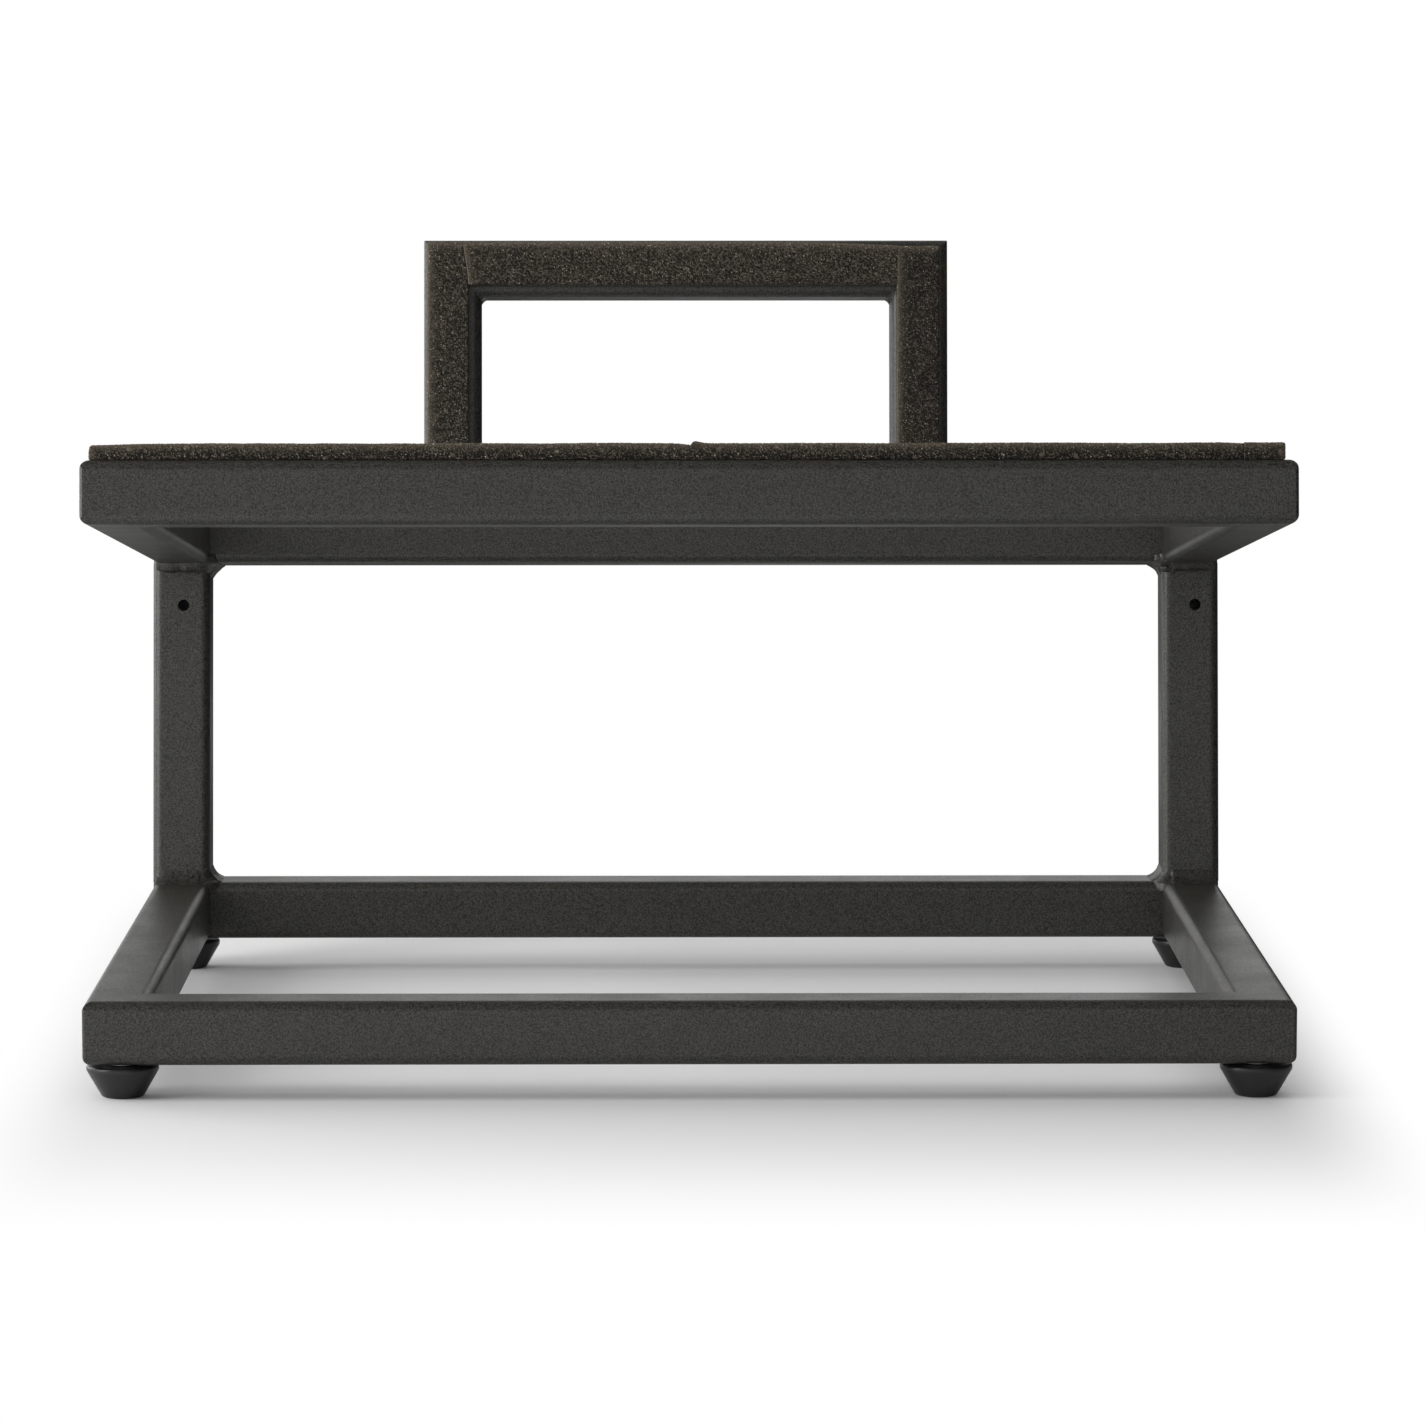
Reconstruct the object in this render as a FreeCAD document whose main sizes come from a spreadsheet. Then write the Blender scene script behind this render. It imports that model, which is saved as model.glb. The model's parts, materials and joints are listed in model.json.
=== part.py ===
"""Low floor stand for a loudspeaker, welded from square steel tube.

A flat base frame carries two rear posts that lean back. A shelf frame, square to the posts, is carried at
its rear corners, and an inverted U on the shelf's rear bar is the backrest. Foam strips line the shelf and
the backrest. Each corner of the base has a levelling foot on a stud that screws into a rivet nut.

Millimetres, +Z up, +X to the right and +Y to the back. The origin is on the floor, under the middle of the
stand's outline.
"""
import FreeCAD, Part
import math
import os
import Sketcher

# Driving dimensions: name, value in millimetres or degrees, and what it measures
DIMENSIONS = (
    ("tube_side", 20.0, "outside of the square tube"),
    ("tube_wall", 2.0, "wall of the square tube"),
    ("tube_corner", 3.2, "rounding along the tube's long edges"),
    ("mitre_rounding", 1.2, "rounding ground on the frames' mitred corners"),
    ("backrest_rounding", 0.6, "rounding ground on the backrest's mitred corners"),
    ("cut_margin", 5.0, "how far a cut reaches past the tube"),
    ("stand_width", 375.0, "outside width of the base and of the shelf"),
    ("base_depth", 285.0, "outside depth of the base"),
    ("shelf_depth", 292.0, "outside depth of the shelf, along its slope"),
    ("lean", 7.5, "backward lean of posts, shelf and backrest"),
    ("post_length", 111.0, "post from base to shelf, on its centre line"),
    ("backrest_width", 184.5, "outside width of the backrest"),
    ("backrest_height", 94.0, "backrest above the shelf's rear bar"),
    ("vent_diameter", 4.0, "vent hole in a post's front wall"),
    ("vent_drop", 14.7, "vent hole below the shelf"),
    ("left_vent_offset", 0.8, "left post's vent hole to the right of the post's middle"),
    ("right_vent_offset", 1.7, "right post's vent hole to the right of the post's middle"),
    ("weld_leg", 4.5, "leg of a fillet weld at a post"),
    ("weld_hollow", 6.0, "radius of that weld's hollow face"),
    ("weld_run", 13.0, "length of a fillet weld"),
    ("backrest_weld_leg", 3.0, "leg of a fillet weld at the backrest's feet"),
    ("backrest_weld_hollow", 4.2, "radius of that weld's hollow face"),
    ("corner_weld_leg", 1.6, "leg of the small weld inside the backrest's corners"),
    ("corner_weld_hollow", 2.4, "radius of that weld's hollow face"),
    ("foam_thickness", 5.3, "thickness of the foam strips"),
    ("foam_gap", 0.2, "gap between foam strips that meet"),
    ("shelf_foam_setback", 2.8, "shelf foam behind the shelf's front face"),
    ("shelf_foam_inset", 3.3, "shelf foam inside the shelf's outer side faces"),
    ("shelf_foam_width", 15.0, "width of the strips along the shelf's front bar"),
    ("side_foam_width", 13.4, "width of the strips along the shelf's side bars"),
    ("side_foam_stop", 24.0, "rear end of the side strips before the shelf's rear face"),
    ("leg_foam_width", 14.8, "width of the strips on the backrest's legs"),
    ("left_foam_inset", 1.4, "left strip inside the backrest's outer face"),
    ("right_foam_inset", 3.1, "right strip inside the backrest's outer face"),
    ("right_foam_drop", 2.6, "right strip below the backrest's top"),
    ("top_foam_drop", 0.8, "left and top strips below the backrest's top"),
    ("top_foam_height", 15.5, "height of the strip on the backrest's top bar"),
    ("leg_foam_lift", 0.5, "leg strips above the shelf's rear bar"),
    ("foot_height", 11.0, "height of a foot"),
    ("foot_top_diameter", 22.5, "diameter of a foot's rim"),
    ("foot_base_diameter", 12.8, "diameter of a foot at the floor, before its edge is rounded"),
    ("foot_rim_height", 2.0, "height of a foot's rim"),
    ("foot_rim_chamfer", 0.5, "chamfer on a foot's upper edge"),
    ("foot_edge", 1.3, "rounding of a foot's lower edge"),
    ("foot_gap", 0.15, "gap between a foot and the tube when it is screwed home"),
    ("foot_inset", 11.5, "foot's axis inside the base's outer faces"),
    ("stud_diameter", 6.0, "diameter of a foot's stud"),
    ("stud_in_foot", 7.5, "length of stud inside a foot, from its upper face"),
    ("stud_in_tube", 12.0, "length of stud above the tube's lower face"),
    ("thread_clearance", 0.05, "radial clearance of a stud in its rivet nut and its foot"),
    ("nut_neck_diameter", 9.0, "diameter of a rivet nut through the tube's wall"),
    ("nut_seat_clearance", 0.05, "radial clearance of a rivet nut in the tube's wall"),
    ("nut_flange_diameter", 12.0, "diameter of a rivet nut's flange"),
    ("nut_flange_thickness", 0.6, "thickness of a rivet nut's flange"),
    ("nut_bulge_diameter", 11.6, "diameter of a rivet nut's upset collar"),
    ("nut_bulge_height", 2.5, "height of a rivet nut's upset collar"),
    ("nut_height", 11.0, "rivet nut above the tube's lower face"),
    ("flange_clearance", 0.3, "clearance round a rivet nut's flange in a foot"),
)
SHEET = "Dims"
ORIGIN_POINT = (-1, 1)
START, END, CENTRE = 1, 2, 3

doc = FreeCAD.newDocument("speaker_stand")
nodes = []


# The sheet of driving dimensions
def make_sheet():
    sheet = doc.addObject("Spreadsheet::Sheet", SHEET)
    for row, (alias, value, meaning) in enumerate(DIMENSIONS, 1):
        sheet.set(f"A{row}", meaning)
        sheet.set(f"B{row}", str(value))
        sheet.setAlias(f"B{row}", alias)
    doc.recompute()
    return sheet


sheet = make_sheet()


def size(alias):
    """Value of a driving dimension."""
    return float(sheet.get(alias))


def cell(alias):
    """Expression that reads a driving dimension."""
    return f"{SHEET}.{alias}"


HALF_SIDE = f"{cell('tube_side')} / 2"
LEAN_TANGENT = f"tan({cell('lean')} * 1deg)"

# Places that follow from the driving dimensions
lean = math.radians(size("lean"))
side = size("tube_side")
half_side = side / 2
half_width = size("stand_width") / 2
base_bottom = size("foot_height") + size("foot_gap")
base_top = base_bottom + side
post_rear_length = size("post_length") - half_side * math.tan(lean)
shelf_top = post_rear_length + side
backrest_top = shelf_top + size("backrest_height")
corner_relief = size("tube_corner") * (math.cos(lean) + math.sin(lean) - 1)
overall_depth = size("base_depth") + backrest_top * math.sin(lean) - corner_relief
base_front = -overall_depth / 2
base_rear = base_front + size("base_depth")
base_middle = (base_front + base_rear) / 2
half_backrest = size("backrest_width") / 2

# Directions of the upright frame and of the leaning one
X_AXIS, Y_AXIS, Z_AXIS = (FreeCAD.Vector(*unit) for unit in ((1, 0, 0), (0, 1, 0), (0, 0, 1)))
UPRIGHT = FreeCAD.Placement()
# The leaning frame has its origin at the posts' rear feet, X to the right, Y along the shelf, Z up the posts
LEANING = FreeCAD.Placement(
    FreeCAD.Vector(0, base_rear, base_top), FreeCAD.Rotation(X_AXIS, -size("lean")))


def place(item, frame, position, x_direction=X_AXIS, y_direction=Y_AXIS):
    """Put an item's own origin and axes at a place in a frame."""
    turn = FreeCAD.Rotation(x_direction, y_direction, x_direction.cross(y_direction), "XYZ")
    item.Placement = frame.multiply(FreeCAD.Placement(FreeCAD.Vector(*position), turn))


def node(item, label):
    """Name an item as a sub-part that gets a file of its own."""
    item.Label = label
    nodes.append(item)
    return item


# Sketches whose points are bound to the sheet
def new_sketch(body, role):
    sketch = body.newObject("Sketcher::SketchObject", f"{body.Name}_sketch")
    plane = next(feature for feature in body.Origin.OriginFeatures if feature.Role == role)
    sketch.AttachmentSupport = [(plane, "")]
    sketch.MapMode = "FlatFace"
    return sketch


def bind(sketch, constraint, expression):
    sketch.setExpression(f"Constraints[{sketch.addConstraint(constraint)}]", expression)


def pin(sketch, point, x_expression, y_expression):
    """Hold a sketch point at expressions of the sheet."""
    for kind, axis, expression in (("DistanceX", -2, x_expression), ("DistanceY", -1, y_expression)):
        value = float(sketch.evalExpression(expression))
        if value == 0:
            sketch.addConstraint(Sketcher.Constraint("PointOnObject", *point, axis))
        elif value > 0:
            bind(sketch, Sketcher.Constraint(kind, *ORIGIN_POINT, *point, value), expression)
        else:
            bind(sketch, Sketcher.Constraint(kind, *point, *ORIGIN_POINT, -value), f"-({expression})")


def arc_between(first, second, radius, bulge):
    """Arc of less than a half circle; a positive bulge lies to the right of the way from first to second."""
    chord = second - first
    across = FreeCAD.Vector(chord.y, -chord.x, 0).normalize()
    reach = math.sqrt(radius ** 2 - (chord.Length / 2) ** 2)
    centre = (first + second) / 2 - across * reach * bulge
    angles = [math.atan2(point.y - centre.y, point.x - centre.x) for point in (first, second)]
    if bulge < 0:
        angles.reverse()
    return Part.ArcOfCircle(Part.Circle(centre, Z_AXIS, radius), *angles)


def outline(sketch, corners, arcs=None):
    """Closed outline through corners given as expressions; arcs maps an edge to its radius and bulge."""
    arcs = arcs or {}
    points = [FreeCAD.Vector(*(float(sketch.evalExpression(text)) for text in corner), 0) for corner in corners]
    ends = []
    for index, first in enumerate(points):
        second = points[(index + 1) % len(points)]
        if index in arcs:
            radius, bulge = arcs[index]
            curve = arc_between(first, second, float(sketch.evalExpression(radius)), bulge)
            edge = sketch.addGeometry(curve, False)
            ends.append(((edge, START), (edge, END)) if bulge > 0 else ((edge, END), (edge, START)))
        else:
            edge = sketch.addGeometry(Part.LineSegment(first, second), False)
            ends.append(((edge, START), (edge, END)))
    for index, corner in enumerate(corners):
        sketch.addConstraint(Sketcher.Constraint("Coincident", *ends[index - 1][1], *ends[index][0]))
        pin(sketch, ends[index][0], *corner)
    for index, (radius, _) in arcs.items():
        edge = ends[index][0][0]
        value = float(sketch.evalExpression(radius))
        bind(sketch, Sketcher.Constraint("Radius", edge, value), radius)


def square(half):
    low = f"-({half})"
    return [(low, low), (half, low), (half, half), (low, half)]


def round_hole(sketch, x_expression, y_expression, diameter):
    value = float(sketch.evalExpression(diameter))
    edge = sketch.addGeometry(Part.Circle(FreeCAD.Vector(), Z_AXIS, value / 2), False)
    bind(sketch, Sketcher.Constraint("Diameter", edge, value), diameter)
    pin(sketch, (edge, CENTRE), x_expression, y_expression)


# Features of a body
def pad(body, sketch, length):
    feature = body.newObject("PartDesign::Pad", f"{body.Name}_pad")
    feature.Profile = sketch
    feature.SideType = "Symmetric"
    feature.setExpression("Length", length)
    doc.recompute()
    return feature


def pocket(body, sketch, sides="Symmetric", reverse=False):
    """Cut right through, to both sides of the sketch or to one, and make sure that material went."""
    before = body.Shape.Volume
    feature = body.newObject("PartDesign::Pocket", f"{body.Name}_pocket")
    feature.Profile = sketch
    feature.Type = "ThroughAll"
    feature.SideType = sides
    feature.Reversed = reverse
    doc.recompute()
    if not body.Shape.Volume < before:
        raise RuntimeError(f"a cut in {body.Label} removes nothing")
    return feature


def revolve(body, sketch):
    feature = body.newObject("PartDesign::Revolution", f"{body.Name}_revolution")
    feature.Profile = sketch
    feature.ReferenceAxis = (sketch, ["V_Axis"])
    doc.recompute()
    return feature


def round_edges(body, base, chosen, radius):
    names = [f"Edge{index}" for index, edge in enumerate(base.Shape.Edges, 1) if chosen(edge)]
    feature = body.newObject("PartDesign::Fillet", f"{body.Name}_fillet")
    feature.Base = (base, names)
    feature.setExpression("Radius", radius)
    doc.recompute()
    return feature


# Tubes: each lies along its own X, centred, with the side that a mitre leaves longest at minus Y
def square_tube(label, length):
    body = doc.addObject("PartDesign::Body", label)
    section = new_sketch(body, "YZ_Plane")
    outline(section, square(HALF_SIDE))
    bar = pad(body, section, length)
    round_edges(body, bar, lambda edge: abs(edge.tangentAt(edge.FirstParameter).x) > 0.5, cell("tube_corner"))
    hollow = new_sketch(body, "YZ_Plane")
    outline(hollow, square(f"({HALF_SIDE} - {cell('tube_wall')})"))
    pocket(body, hollow)
    return node(body, label)


def mitre(body, length, rounding):
    """Cut the plus X end at 45 degrees and round the long tip to the corner's middle."""
    end, margin = f"({length}) / 2", cell("cut_margin")
    tip = f"{rounding} * (1 - cos(45deg))"
    cut = new_sketch(body, "XY_Plane")
    outline(cut, [
        (f"{end} - {cell('tube_side')} - {margin}", f"{HALF_SIDE} + {margin}"),
        (f"{end} - {tip}", f"{tip} - {HALF_SIDE}"),
        (f"{end} - {rounding}", f"-({HALF_SIDE})"),
        (f"{end} - {rounding}", f"-({HALF_SIDE}) - {margin}"),
        (f"{end} + {margin}", f"-({HALF_SIDE}) - {margin}"),
        (f"{end} + {margin}", f"{HALF_SIDE} + {margin}"),
    ], {1: (rounding, -1)})
    return pocket(body, cut)


def nut_hole(body, length):
    """Hole for a rivet nut in the lower wall of a base bar, on the corner's diagonal."""
    hole = new_sketch(body, "XY_Plane")
    round_hole(hole, f"({length}) / 2 - {cell('foot_inset')}", f"{cell('foot_inset')} - {HALF_SIDE}",
               f"{cell('nut_neck_diameter')} + 2 * {cell('nut_seat_clearance')}")
    return pocket(body, hole, "One side")


def same_at_other_end(body, cuts):
    feature = body.newObject("PartDesign::Mirrored", f"{body.Name}_mirrored")
    feature.Originals = cuts
    plane = next(item for item in body.Origin.OriginFeatures if item.Role == "YZ_Plane")
    feature.MirrorPlane = (plane, [""])
    body.Tip = feature
    doc.recompute()


def mitred_frame(prefix, frame, middle, depth_alias, with_feet):
    """Four bars mitred into a flat rectangle, round a middle given in a frame."""
    half_depth = size(depth_alias) / 2
    x, y, z = middle
    places = (
        ("front", "stand_width", (x, y - half_depth + half_side, z), X_AXIS, Y_AXIS),
        ("right", depth_alias, (x + half_width - half_side, y, z), Y_AXIS, -X_AXIS),
        ("rear", "stand_width", (x, y + half_depth - half_side, z), -X_AXIS, -Y_AXIS),
        ("left", depth_alias, (x - half_width + half_side, y, z), -Y_AXIS, X_AXIS),
    )
    for name, alias, position, x_direction, y_direction in places:
        bar = square_tube(f"{prefix}_{name}_bar", cell(alias))
        cuts = [mitre(bar, cell(alias), cell("mitre_rounding"))]
        if with_feet:
            cuts.append(nut_hole(bar, cell(alias)))
        same_at_other_end(bar, cuts)
        place(bar, frame, position, x_direction, y_direction)


def post(label, x, vent_offset):
    """Post along its own X, pointing down, with its lower end cut level and its front wall at minus Y."""
    length = f"({cell('post_length')} + {HALF_SIDE} * {LEAN_TANGENT})"
    end, margin = f"{length} / 2", cell("cut_margin")
    body = square_tube(label, length)
    cut = new_sketch(body, "XY_Plane")
    outline(cut, [
        (f"{end} + {margin} * {LEAN_TANGENT}", f"-({HALF_SIDE}) - {margin}"),
        (f"{end} + {margin}", f"-({HALF_SIDE}) - {margin}"),
        (f"{end} + {margin}", f"{HALF_SIDE} + {margin}"),
        (f"{end} - ({cell('tube_side')} + {margin}) * {LEAN_TANGENT}", f"{HALF_SIDE} + {margin}"),
    ])
    pocket(body, cut)
    vent = new_sketch(body, "XZ_Plane")
    round_hole(vent, f"{cell('vent_drop')} - {end}", vent_offset, cell("vent_diameter"))
    pocket(body, vent, "One side", reverse=True)
    front_length = size("post_length") + half_side * math.tan(lean)
    place(body, LEANING, (x, -half_side, post_rear_length - front_length / 2), -Z_AXIS, Y_AXIS)


def backrest():
    """Two legs on the shelf's rear bar and a top bar mitred between them."""
    rounding = cell("backrest_rounding")
    middle = (shelf_top + backrest_top) / 2
    for name, hand in (("left", -1), ("right", 1)):
        leg = square_tube(f"backrest_{name}_leg", cell("backrest_height"))
        mitre(leg, cell("backrest_height"), rounding)
        place(leg, LEANING, (hand * (half_backrest - half_side), -half_side, middle), Z_AXIS, X_AXIS * -hand)
    bar = square_tube("backrest_top_bar", cell("backrest_width"))
    same_at_other_end(bar, [mitre(bar, cell("backrest_width"), rounding)])
    place(bar, LEANING, (0, -half_side, backrest_top - half_side), X_AXIS, -Z_AXIS)


# Fillet welds: one leg along X, the other up from it, hollow between, running along Z
def fillet_weld(label, leg, hollow, opening="90deg"):
    body = doc.addObject("PartDesign::Body", label)
    profile = new_sketch(body, "XY_Plane")
    outline(profile, [("0", "0"), (leg, "0"), (f"{leg} * cos({opening})", f"{leg} * sin({opening})")],
            {1: (hollow, -1)})
    pad(body, profile, cell("weld_run"))
    return body


def weld_group(label, welds):
    group = doc.addObject("Part::Compound", label)
    group.Links = welds
    node(group, label)


def post_welds():
    """Welds inside and in front of each post, at the base and under the shelf."""
    leg, hollow = cell("weld_leg"), cell("weld_hollow")
    inner = half_width - side
    middle = half_width - half_side
    post_front = base_rear - side / math.cos(lean)
    feet, heads = [], []
    for name, hand in (("left", -1), ("right", 1)):
        inwards = X_AXIS * -hand
        weld = fillet_weld(f"{name}_foot_inner_weld", leg, hollow)
        place(weld, UPRIGHT, (hand * inner, base_rear - half_side, base_top), inwards, Z_AXIS)
        feet.append(weld)
        weld = fillet_weld(f"{name}_foot_front_weld", leg, hollow, f"(90deg + {cell('lean')} * 1deg)")
        place(weld, UPRIGHT, (hand * middle, post_front, base_top), -Y_AXIS, Z_AXIS)
        feet.append(weld)
        weld = fillet_weld(f"{name}_head_inner_weld", leg, hollow)
        place(weld, LEANING, (hand * inner, -half_side, post_rear_length), inwards, -Z_AXIS)
        heads.append(weld)
        weld = fillet_weld(f"{name}_head_front_weld", leg, hollow)
        place(weld, LEANING, (hand * middle, -side, post_rear_length), -Y_AXIS, -Z_AXIS)
        heads.append(weld)
    weld_group("post_foot_welds", feet)
    weld_group("post_head_welds", heads)


def backrest_welds():
    """Welds on both sides of each backrest leg, and the small ones inside its upper corners."""
    leg, hollow = cell("backrest_weld_leg"), cell("backrest_weld_hollow")
    inner = half_backrest - side
    feet, corners = [], []
    for name, hand in (("left", -1), ("right", 1)):
        outwards = X_AXIS * hand
        for face, x, direction in (("outer", half_backrest, outwards), ("inner", inner, -outwards)):
            weld = fillet_weld(f"{name}_leg_{face}_weld", leg, hollow)
            place(weld, LEANING, (hand * x, -half_side, shelf_top), direction, Z_AXIS)
            feet.append(weld)
        weld = fillet_weld(f"{name}_corner_weld", cell("corner_weld_leg"), cell("corner_weld_hollow"))
        place(weld, LEANING, (hand * inner, -half_side, backrest_top - side), -outwards, -Z_AXIS)
        corners.append(weld)
    weld_group("backrest_foot_welds", feet)
    weld_group("backrest_corner_welds", corners)


# Foam strips: plain strips with square-cut edges
def foam_strip(label, lengths, position):
    strip = doc.addObject("Part::Box", label)
    for name, expression in zip(("Length", "Width", "Height"), lengths):
        strip.setExpression(name, expression)
    place(strip, LEANING, position)
    node(strip, label)


def shelf_foam():
    """Two strips along the front bar, meeting in the middle, and one along each side bar."""
    thickness, gap = cell("foam_thickness"), cell("foam_gap")
    front_width, side_width = cell("shelf_foam_width"), cell("side_foam_width")
    half_run = f"({cell('stand_width')} / 2 - {cell('shelf_foam_inset')})"
    outer = half_width - size("shelf_foam_inset")
    front = size("shelf_foam_setback") - size("shelf_depth")
    half_gap = size("foam_gap") / 2
    foam_strip("shelf_foam_front_left", (f"{half_run} - {gap} / 2", front_width, thickness),
               (-outer, front, shelf_top))
    right_run = f"{half_run} - {gap} / 2 - {gap} - {side_width}"
    foam_strip("shelf_foam_front_right", (right_run, front_width, thickness), (half_gap, front, shelf_top))
    side_run = f"{cell('shelf_depth')} - {cell('shelf_foam_setback')} - {cell('side_foam_stop')}"
    behind_front = size("shelf_foam_width") + size("foam_gap")
    foam_strip("shelf_foam_left_side", (side_width, f"{side_run} - {front_width} - {gap}", thickness),
               (-outer, front + behind_front, shelf_top))
    foam_strip("shelf_foam_right_side", (side_width, side_run, thickness),
               (outer - size("side_foam_width"), front, shelf_top))


def backrest_foam():
    """A strip up each leg's front and one along the top bar between them."""
    thickness, gap, width = cell("foam_thickness"), cell("foam_gap"), cell("leg_foam_width")
    face = -side - size("foam_thickness")
    bottom = shelf_top + size("leg_foam_lift")
    left = -half_backrest + size("left_foam_inset")
    right = half_backrest - size("right_foam_inset") - size("leg_foam_width")
    height = f"{cell('backrest_height')} - {cell('leg_foam_lift')}"
    foam_strip("backrest_foam_left", (width, thickness, f"{height} - {cell('top_foam_drop')}"),
               (left, face, bottom))
    foam_strip("backrest_foam_right", (width, thickness, f"{height} - {cell('right_foam_drop')}"),
               (right, face, bottom))
    run = (f"{cell('backrest_width')} - {cell('left_foam_inset')} - {cell('right_foam_inset')}"
           f" - 2 * ({width} + {gap})")
    foam_strip("backrest_foam_top", (run, thickness, cell("top_foam_height")),
               (left + size("leg_foam_width") + size("foam_gap"), face,
                backrest_top - size("top_foam_drop") - size("top_foam_height")))


# Levelling feet: each piece stands on the tube's lower face, at Z zero of its own
def foot_pad(label):
    """Tapered foot with a rim, a seat for the rivet nut's flange and a bore for the stud."""
    body = doc.addObject("PartDesign::Body", label)
    top = f"-({cell('foot_gap')})"
    floor = f"({top} - {cell('foot_height')})"
    rim, base = f"({cell('foot_top_diameter')} / 2)", f"({cell('foot_base_diameter')} / 2)"
    chamfer = cell("foot_rim_chamfer")
    seat = f"({cell('nut_flange_diameter')} / 2 + {cell('flange_clearance')})"
    seat_floor = f"({top} - {cell('nut_flange_thickness')} - {cell('flange_clearance')})"
    bore = f"({cell('stud_diameter')} / 2 + {cell('thread_clearance')})"
    bore_floor = f"({top} - {cell('stud_in_foot')})"
    profile = new_sketch(body, "XZ_Plane")
    outline(profile, [
        ("0", floor), (base, floor), (rim, f"{top} - {cell('foot_rim_height')}"), (rim, f"{top} - {chamfer}"),
        (f"{rim} - {chamfer}", top), (seat, top), (seat, seat_floor), (bore, seat_floor),
        (bore, bore_floor), ("0", bore_floor),
    ])
    shape = revolve(body, profile)
    lowest = shape.Shape.BoundBox.ZMin
    round_edges(body, shape, lambda edge: edge.BoundBox.ZMax - lowest < size("foot_edge") / 10,
                cell("foot_edge"))
    return node(body, label)


def stud(label):
    """Round stud, standing in its foot and screwed into its rivet nut."""
    rod = doc.addObject("Part::Cylinder", label)
    rod.setExpression("Radius", f"{cell('stud_diameter')} / 2")
    rod.setExpression("Height", f"{cell('stud_in_foot')} + {cell('foot_gap')} + {cell('stud_in_tube')}")
    return node(rod, label)


def rivet_nut(label):
    """Threaded insert, flanged under the tube's wall and upset above it."""
    body = doc.addObject("PartDesign::Body", label)
    bore = f"({cell('stud_diameter')} / 2 + {cell('thread_clearance')})"
    neck, flange = f"({cell('nut_neck_diameter')} / 2)", f"({cell('nut_flange_diameter')} / 2)"
    bulge, wall = f"({cell('nut_bulge_diameter')} / 2)", cell("tube_wall")
    collar, under = f"({wall} + {cell('nut_bulge_height')})", f"-({cell('nut_flange_thickness')})"
    profile = new_sketch(body, "XZ_Plane")
    outline(profile, [
        (bore, under), (flange, under), (flange, "0"), (neck, "0"), (neck, wall), (bulge, wall),
        (bulge, collar), (neck, collar), (neck, cell("nut_height")), (bore, cell("nut_height")),
    ])
    revolve(body, profile)
    return node(body, label)


def levelling_feet():
    x_reach = half_width - size("foot_inset")
    for depth, y in (("front", base_front + size("foot_inset")), ("rear", base_rear - size("foot_inset"))):
        for name, x in (("left", -x_reach), ("right", x_reach)):
            corner = f"{depth}_{name}"
            stud_foot = base_bottom - size("foot_gap") - size("stud_in_foot")
            place(foot_pad(f"{corner}_foot"), UPRIGHT, (x, y, base_bottom))
            place(stud(f"{corner}_stud"), UPRIGHT, (x, y, stud_foot))
            place(rivet_nut(f"{corner}_rivet_nut"), UPRIGHT, (x, y, base_bottom))


def write_parts():
    """Stop on any failed object or shape, then write each sub-part to its own file."""
    doc.recompute()
    for item in doc.Objects:
        if {"Invalid", "Error"} & set(item.State):
            raise RuntimeError(f"{item.Label} failed: {item.State}")
    for item in nodes:
        if item.Shape.isNull() or not item.Shape.isValid() or not item.Shape.Solids:
            raise RuntimeError(f"{item.Label} has no valid solid")
    os.makedirs("parts", exist_ok=True)
    for item in nodes:
        item.Shape.exportStep(f"parts/{item.Label}.step")
    print(f"{len(nodes)} sub-parts written")


mitred_frame("base", UPRIGHT, (0, base_middle, base_bottom + half_side), "base_depth", with_feet=True)
post("left_post", half_side - half_width, cell("left_vent_offset"))
post("right_post", half_width - half_side, cell("right_vent_offset"))
mitred_frame("shelf", LEANING, (0, -size("shelf_depth") / 2, shelf_top - half_side), "shelf_depth",
             with_feet=False)
backrest()
post_welds()
backrest_welds()
shelf_foam()
backrest_foam()
levelling_feet()
write_parts()
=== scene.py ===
import json
import math

import bmesh
import bpy
import numpy as np
from bpy.props import FloatProperty, FloatVectorProperty, IntProperty, PointerProperty
from mathutils import Matrix, Vector, noise


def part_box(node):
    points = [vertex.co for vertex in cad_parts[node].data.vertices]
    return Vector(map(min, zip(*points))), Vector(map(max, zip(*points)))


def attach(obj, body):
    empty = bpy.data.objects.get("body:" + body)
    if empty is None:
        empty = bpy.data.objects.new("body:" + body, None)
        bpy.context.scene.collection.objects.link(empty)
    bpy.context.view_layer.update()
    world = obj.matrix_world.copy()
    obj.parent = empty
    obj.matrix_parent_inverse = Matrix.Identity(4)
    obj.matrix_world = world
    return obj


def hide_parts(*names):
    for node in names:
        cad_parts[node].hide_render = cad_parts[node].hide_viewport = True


bl_info = {
    "name": "Speaker stand",
    "version": (1, 0, 0),
    "blender": (4, 5, 0),
    "location": "3D View > Sidebar > Speaker stand",
    "description": "Dresses the packed speaker stand: coat, welds, foam strips, threads, feet and studio",
    "category": "Object",
}

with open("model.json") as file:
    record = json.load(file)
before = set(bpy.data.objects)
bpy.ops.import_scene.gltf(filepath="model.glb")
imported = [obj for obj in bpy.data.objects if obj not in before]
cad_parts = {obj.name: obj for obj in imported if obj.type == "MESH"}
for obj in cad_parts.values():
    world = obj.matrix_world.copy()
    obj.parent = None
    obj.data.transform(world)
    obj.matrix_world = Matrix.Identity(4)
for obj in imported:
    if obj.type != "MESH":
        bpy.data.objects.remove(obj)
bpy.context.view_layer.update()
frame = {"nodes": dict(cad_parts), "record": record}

MM = 0.001
FRAME_BODY = "frame"
CORNERS = ("front_left", "front_right", "rear_left", "rear_right")
TUBES = tuple(f"{ring}_{side}_bar" for ring in ("base", "shelf")
              for side in ("front", "right", "rear", "left"))
TUBES += ("left_post", "right_post", "backrest_left_leg", "backrest_right_leg", "backrest_top_bar")

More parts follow.
